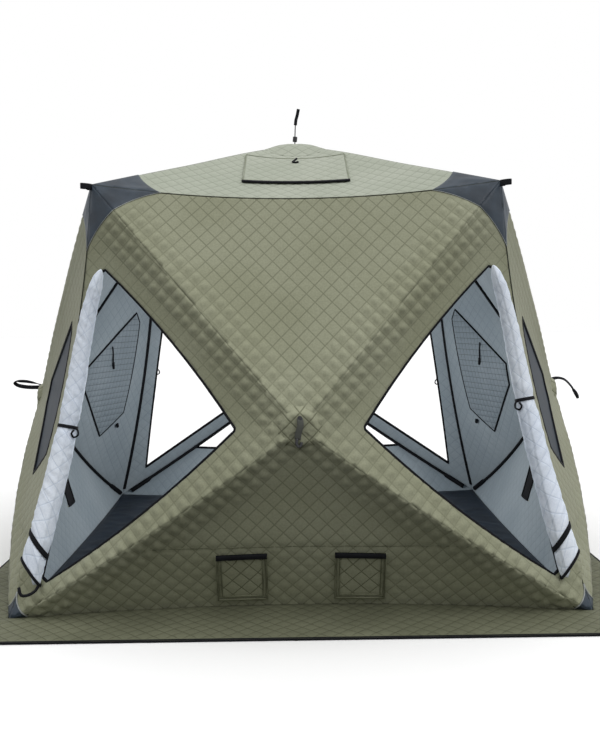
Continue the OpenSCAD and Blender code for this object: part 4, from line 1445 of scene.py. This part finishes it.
def crown(flat):
    """Cloth over the roof's hub: a low rounded top that runs out on to the roof."""
    r = np.linalg.norm(flat, axis=1)
    points = over_roof(flat)
    share = smooth(r, HUB_FLAT_R - 0.02, CROWN_R)
    points[:, 2] = (ROOF_Z + 0.0035) * (1 - share) + (points[:, 2] + 0.002) * share
    way = np.tile([0.0, 0.0, -1.0], (len(flat), 1))
    return points, -way, way


def circle(radius, centre=(0, 0), n=48):
    a = np.arange(n) * 2 * np.pi / n
    return np.stack([np.cos(a), np.sin(a)], 1) * radius + np.asarray(centre)


def hub_loft(flat, edge):
    return PUFF_ROOF * 0.6 * puff(flat) * smooth(edge, 0, 0.02)


def sewn_all_over(flat, edge):
    return np.ones(len(flat))


for wall, turn in TURNS.items():
    rim = circle(HUB_COVER_R, FLAT_HUB)
    shell = layers(hub_cover, [rim], hub_loft, none, sewn_all_over, turn, (0.0, 0.0025),
                   square_grid(rim.min(0), rim.max(0), 0.006))
    piece = cloth_piece(f"{wall}_hub_cover", shell, [WALL_CLOTH] * 3, "wall_olive")
    declare_cut([[rim]])
rim = circle(CROWN_R)
shell = layers(crown, [rim], hub_loft, none, sewn_all_over, 0, (0.0, 0.0025))
piece = cloth_piece("roof_hub_cover", shell, [ROOF_CLOTH] * 3, "roof_olive")
declare_cut([[rim]])


def round_part(name, mat, radius, depth, place, direction, edge=0.3):
    """A short moulded round part: its ends are dished in edit mode and its edges rounded."""
    bpy.ops.object.select_all(action="DESELECT")
    turn_to = Vector(direction).to_track_quat("Z", "Y")
    bpy.ops.mesh.primitive_cylinder_add(vertices=28, radius=radius, depth=depth)
    obj = bpy.context.object
    obj.name = name
    for end in (1, -1):
        bpy.ops.object.mode_set(mode="OBJECT")
        for face in obj.data.polygons:
            face.select = face.normal.z * end > 0.9
        bpy.ops.object.mode_set(mode="EDIT")
        bpy.ops.mesh.select_mode(type="FACE")
        bpy.ops.mesh.inset(thickness=radius * 0.34, depth=0)
        bpy.ops.mesh.inset(thickness=radius * 0.12, depth=-radius * 0.16)
    bpy.ops.mesh.select_all(action="SELECT")
    bpy.ops.mesh.normals_make_consistent(inside=False)
    bpy.ops.object.mode_set(mode="OBJECT")
    bpy.ops.object.modifier_add(type="BEVEL")
    bevel = obj.modifiers[-1]
    bevel.width = min(radius, depth / 2) * edge
    bevel.segments = 3
    bevel.limit_method = "ANGLE"
    bpy.ops.object.modifier_apply(modifier=bevel.name)
    obj.rotation_euler = turn_to.to_euler()
    obj.location = Vector([float(v) for v in place])
    bpy.ops.object.transform_apply(location=True, rotation=True, scale=True)
    bpy.ops.object.shade_smooth_by_angle(angle=math.radians(40))
    obj.data.materials.append(mat)
    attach(obj, "root")
    return obj


straps, hooks = [], []
KNOB_RISE = 0.040
for turn in (0, 2):
    face_y = -HUB_OUT - 0.010
    line = [(0, face_y, HUB_Z + KNOB_RISE), (0.002, face_y - 0.006, HUB_Z + 0.015),
            (-0.006, face_y - 0.004, HUB_Z - 0.015), (-0.010, face_y - 0.002, HUB_Z - 0.038)]
    pts = smooth_path(line, 0.006)
    straps.append(sweep(pts, np.tile([0.15, -1.0, 0], (len(pts), 1)), 0.0125, 0.0016, False, 8, 0.5, turn))
    line = [(-0.010, face_y - 0.003, HUB_Z - 0.034), (-0.013, face_y - 0.004, HUB_Z - 0.052),
            (-0.006, face_y - 0.004, HUB_Z - 0.064), (0.003, face_y - 0.004, HUB_Z - 0.060),
            (0.005, face_y - 0.004, HUB_Z - 0.048)]
    hooks.append(cord_piece(line, 0.0060, 8, turn))
    knob = turned(np.array([0, -HUB_OUT - 0.008, HUB_Z + KNOB_RISE]), turn)
    way = turned(np.array([0, -1.0, 0]), turn)
    round_part(f"{('front', '', 'back')[turn]}_knob", NYLON, 0.011, 0.014, knob, way)
cloth_piece("hub_straps", joined(straps), [WEBBING_GREY], "webbing_black")
cloth_piece("hub_hooks", joined(hooks), [NYLON], "strut_black")

STRAP_RISE, STRAP_BACK = 0.050, 0.026


def out_from_wall(points, turn):
    """Points given as (along the wall, outward, up) from where a side strap is sewn on."""
    p = np.array([[x, -(HUB_OUT - STRAP_BACK + 0.001) - o, HUB_Z + STRAP_RISE + u] for x, o, u in points])
    return turned(p, turn)


straps, ends = [], []
rise = math.radians(8)
lens = [(0, 0.0), (0.045, 0.011), (0.10, 0.015), (0.145, 0.010), (0.1635, 0.0), (0.145, -0.013),
        (0.10, -0.016), (0.045, -0.010), (0, 0.0)]
line = [(0.010 * math.sin(i * 0.8), o * math.cos(rise) - u * math.sin(rise),
         o * math.sin(rise) + u * math.cos(rise)) for i, (o, u) in enumerate(lens)]
pts = smooth_path(out_from_wall(line, 3), 0.006)
centre = out_from_wall([(0, 0.08, 0.011)], 3)[0]
up = pts - centre
twist = np.linspace(0, 1, len(pts))[:, None] * np.array([0, 0.06, 0])
straps.append(sweep(pts, up * (1, 0, 1) + twist, 0.0105, 0.0020, False, 8, 0.5))
droop = [(0, 0, 0), (0.003, 0.035, 0.012), (0.0, 0.062, 0.013), (-0.004, 0.090, 0.002),
         (-0.006, 0.118, -0.028), (-0.004, 0.134, -0.052)]
pts = smooth_path(out_from_wall(droop, 1), 0.006)
up = np.tile([0.45, -0.6, 0.75], (len(pts), 1))
straps.append(sweep(pts, up, 0.0100, 0.0022, False, 8, 0.5))
tail = [(-0.004, 0.130, -0.046), (-0.003, 0.142, -0.064), (0, 0.152, -0.082), (0.002, 0.156, -0.094)]
pts = smooth_path(out_from_wall(tail, 1), 0.004)
k = np.linspace(0, 1, len(pts))
straps.append(sweep(pts, np.tile([0.0, -1.0, 0.1], (len(pts), 1)), 0.0065 + 0.003 * np.sin(np.pi * k),
                    0.0065 + 0.002 * np.sin(np.pi * k), False, 10, 0.8))

# The roof's cord: thin up to half its height, with a bead low down, then a flat tag
foot = np.array([0.0, 0.0, ROOF_Z + 0.003])
cord = foot + np.array([(0, 0, 0), (0.0005, 0, 0.03), (0.002, 0, 0.075), (0.004, 0, 0.112)])
straps.append(cord_piece(cord, 0.0030, 8, 0, 0.008))
tag = foot + np.array([(0.004, 0, 0.108), (0.007, 0, 0.135), (0.014, 0, 0.160), (0.0205, 0, 0.192)])
pts = smooth_path(tag, 0.006)
straps.append(sweep(pts, np.tile([0.1, -1.0, 0], (len(pts), 1)), 0.0085, 0.0030, False, 8, 0.6))
bead = foot + np.array([0.001, 0, 0.034])
round_part("roof_bead", NYLON, 0.0115, 0.026, bead, (0.1, 0, 1), 0.45)
cloth_piece("pull_webbing", joined(straps), [WEBBING], "webbing_black", "pull_straps")

GUY_LOOP = 0.055
guys = []
for turn in TURNS.values():
    root = np.array([HALF_TOP + 0.001, -HALF_TOP - 0.001, EAVE_Z - 0.008])
    away = np.array([1.0, -1.0, 0]) / math.sqrt(2)
    side = np.array([1.0, 1.0, 0]) / math.sqrt(2)
    fold = [(0.0, -0.002), (0.022, -0.0065), (0.045, -0.0065), (GUY_LOOP - 0.003, 0.0),
            (0.045, 0.0065), (0.022, 0.0065), (0.0, 0.002)]
    pts = smooth_path([root + away * a + side * b for a, b in fold], 0.005)
    up = pts - (root + away * 0.03)
    guys.append(sweep(pts, up * (1, 1, 0) + side * 0.001, 0.0125, 0.0016, False, 8, 0.5, turn))
    pts = np.array([root + away * a + np.array([0, 0, -0.002]) for a in (0.004, 0.012, 0.020)])
    guys.append(sweep(pts, np.tile([0, 0, 1.0], (3, 1)), 0.007, 0.014, False, 8, 0.5, turn))
cloth_piece("guy_webbing", joined(guys), [WEBBING], "webbing_black", "guy_loops")


# ---- Small trim --------------------------------------------------------------------------

seams = []
for wall, turn in TURNS.items():
    if wall == "back":
        continue
    q = quarter("lower", hem_tuck(turn))
    reach = np.interp(-LOW_SEAM_Z, -STRUT_LOW[:, 1], STRUT_LOW[:, 0]) - 0.035
    line = np.array([[x, LOW_SEAM_Z + 0.008 * (x / reach) ** 2] for x in np.linspace(-reach, reach, 60)])
    seams.append(raised_line(q, line, 0.0016, turn, low_bulge, -0.0005))
cloth_piece("lower_seams", joined(seams), [OLIVE_TAPE], "wall_olive")

pipes = []
for wall, turn in TURNS.items():
    for q, from_a, along_seam, along_strut in WALL_PATCHES:
        shape = patch_outline(q, from_a, along_seam, along_strut)
        across = shape[19:31]
        thick = 0.0028 if along_seam == FOOT_SEAM else 0.0014
        for flip in (False, True):
            line = across * (-1, 1) if flip else across
            line = line[line[:, 1] > FOOT_LIFT]
            pipes.append(tape_on(MIRRORED[id(q)] if flip else q, line, thick, thick, -PATCH_T, False, turn))
cloth_piece("patch_piping", joined(pipes), [PIPING], "patch_navy")

# Ties that hold a window's flap open, each with its toggle
TIE_LINE = np.array([[0.555, 1.000], [0.575, 0.955], [0.590, 0.905], [0.607, 0.868]])
CATCH = np.array([[0.812, 0.512], [0.826, 0.492]])
# Line, half width, half thickness, distance inside the lining, squareness and step of each
TIE_PARTS = ((TIE_LINE, 0.0045, 0.0030, 0.011, 0.7, 0.01), (TIE_LINE[2:], 0.0085, 0.0055, 0.012, 0.9, 0.01),
             (CATCH, 0.0100, 0.0070, 0.010, 0.9, 0.006))
flap_ties = []
for wall in ("left", "right"):
    for q, flip in ((RIGHT_QUARTER, 1), (LEFT_QUARTER, -1)):
        for line, half_w, half_t, depth, square, step in TIE_PARTS:
            flap_ties.append(tape_on(q, line * (flip, 1), half_w, half_t, CLOTH + depth, False, TURNS[wall],
                                     square, step))
cloth_piece("flap_ties", joined(flap_ties), [WEBBING], "webbing_black")

line = np.array([[0.006, -0.292], [-0.004, -0.320], [-0.012, -0.345], [0.0, -0.356], [0.012, -0.345]])
shell = tape_on(ROOF_QUARTER, smooth_path(np.c_[line, 0 * line[:, 0]], 0.006)[:, :2], 0.0055, 0.0045,
                -FLAP_T - 0.004, False, 0, 0.8, 0.006)
cloth_piece("roof_vent_hook", shell, [WEBBING], "webbing_black")


# ---- Camera, light and ground ------------------------------------------------------

camera_data = bpy.data.cameras.new("camera")
camera = bpy.data.objects.new("camera", camera_data)
bpy.context.scene.collection.objects.link(camera)
bpy.context.scene.camera = camera
camera_data.lens = 42.66
camera_data.sensor_width = 36.0
camera_data.shift_y = -0.0937
camera_data.clip_end = 200
camera.location = (-0.0243, -4.6534, 1.226)
camera.rotation_mode = "XYZ"
camera.rotation_euler = (math.radians(90), 0, -0.009)
camera.rotation_euler.rotate_axis("Z", -0.0112)

scene = bpy.context.scene
scene.view_settings.view_transform = "Standard"

# An overcast sky: brightest overhead, dim at the horizon and almost dark below it
SKY_TOP = 1.38
SKY_EDGE = 0.12  # brightness at the horizon, as a share of the top
SKY_BELOW = 0.02
world = bpy.data.worlds.new("overcast_sky")
scene.world = world
world.use_nodes = True
shader = world.node_tree.nodes["Background"]
direction = add_node(world, "ShaderNodeTexCoord").outputs["Generated"]
height = add_node(world, "ShaderNodeSeparateXYZ", {0: direction}).outputs[2]
above = ranged(world, height, -0.05, 0.05)
sky = maths(world, "MULTIPLY_ADD", height, (1 - SKY_EDGE) * SKY_TOP)
sky.node.inputs[2].default_value = SKY_EDGE * SKY_TOP
lit = add_node(world, "ShaderNodeMix", {0: above, 3: sky}, data_type="FLOAT")
lit.inputs[2].default_value = SKY_BELOW
seen = add_node(world, "ShaderNodeLightPath")
background = maths(world, "MAXIMUM", seen.outputs["Is Camera Ray"], seen.outputs["Is Transmission Ray"])
background = maths(world, "MAXIMUM", background, seen.outputs["Is Glossy Ray"])
strength = add_node(world, "ShaderNodeMix", {0: background, 2: lit.outputs[0]}, data_type="FLOAT")
strength.inputs[3].default_value = 1.0
world.node_tree.links.new(strength.outputs[0], shader.inputs["Strength"])
shader.inputs["Color"].default_value = (1, 1, 1, 1)


def lamp(name, kind, energy, **settings):
    """A lamp, which its caller puts in its place and turns."""
    data = bpy.data.lights.new(name, kind)
    data.energy = energy
    for setting, value in settings.items():
        setattr(data, setting, value)
    obj = bpy.data.objects.new(name, data)
    scene.collection.objects.link(obj)
    return obj


def towards(direction):
    return Vector(direction).to_track_quat("-Z", "Y").to_euler()


sun = lamp("soft_sun", "SUN", 0.75, angle=math.radians(35))
sun.rotation_euler = towards((-0.75, 0.50, -1.0))

# Light that comes through the doorways and the thin cloth
room_light = lamp("room_light", "POINT", 30, shadow_soft_size=0.35)
room_light.location = (0, 0.15, 0.60)
room_light.visible_camera = False

# Soft light on each rolled door, which the wall's own slope would leave in shade
for side, name in ((-1, "left_doorway_light"), (1, "right_doorway_light")):
    door_light = lamp(name, "AREA", 1.9, shape="RECTANGLE", size=0.35, size_y=1.1)
    door_light.location = (side * 1.75, -2.50, 0.95)
    door_light.rotation_euler = towards((side * -0.47, 1.10, -0.08))
    door_light.visible_camera = False
    door_light.visible_glossy = False

ground_mat, ground_shader = new_material("studio_floor_white", "#ffffff", 0.9)
looked_at = add_node(ground_mat, "ShaderNodeLightPath")
seen_directly = maths(ground_mat, "MAXIMUM", looked_at.outputs["Is Camera Ray"],
                      looked_at.outputs["Is Transmission Ray"])
seen_directly = maths(ground_mat, "MAXIMUM", seen_directly, looked_at.outputs["Is Glossy Ray"])
ground_mat.node_tree.links.new(mix_colour(ground_mat, seen_directly, "#262724", "#ffffff"),
                               ground_shader.inputs["Base Color"])
bpy.ops.object.select_all(action="DESELECT")
bpy.ops.mesh.primitive_plane_add(size=60, location=(0, 0, -0.001))
ground = bpy.context.object
ground.name = "studio_floor"
ground.data.materials.append(ground_mat)


def corners(box):
    return [[round(v, 5) for v in corner] for corner in box]
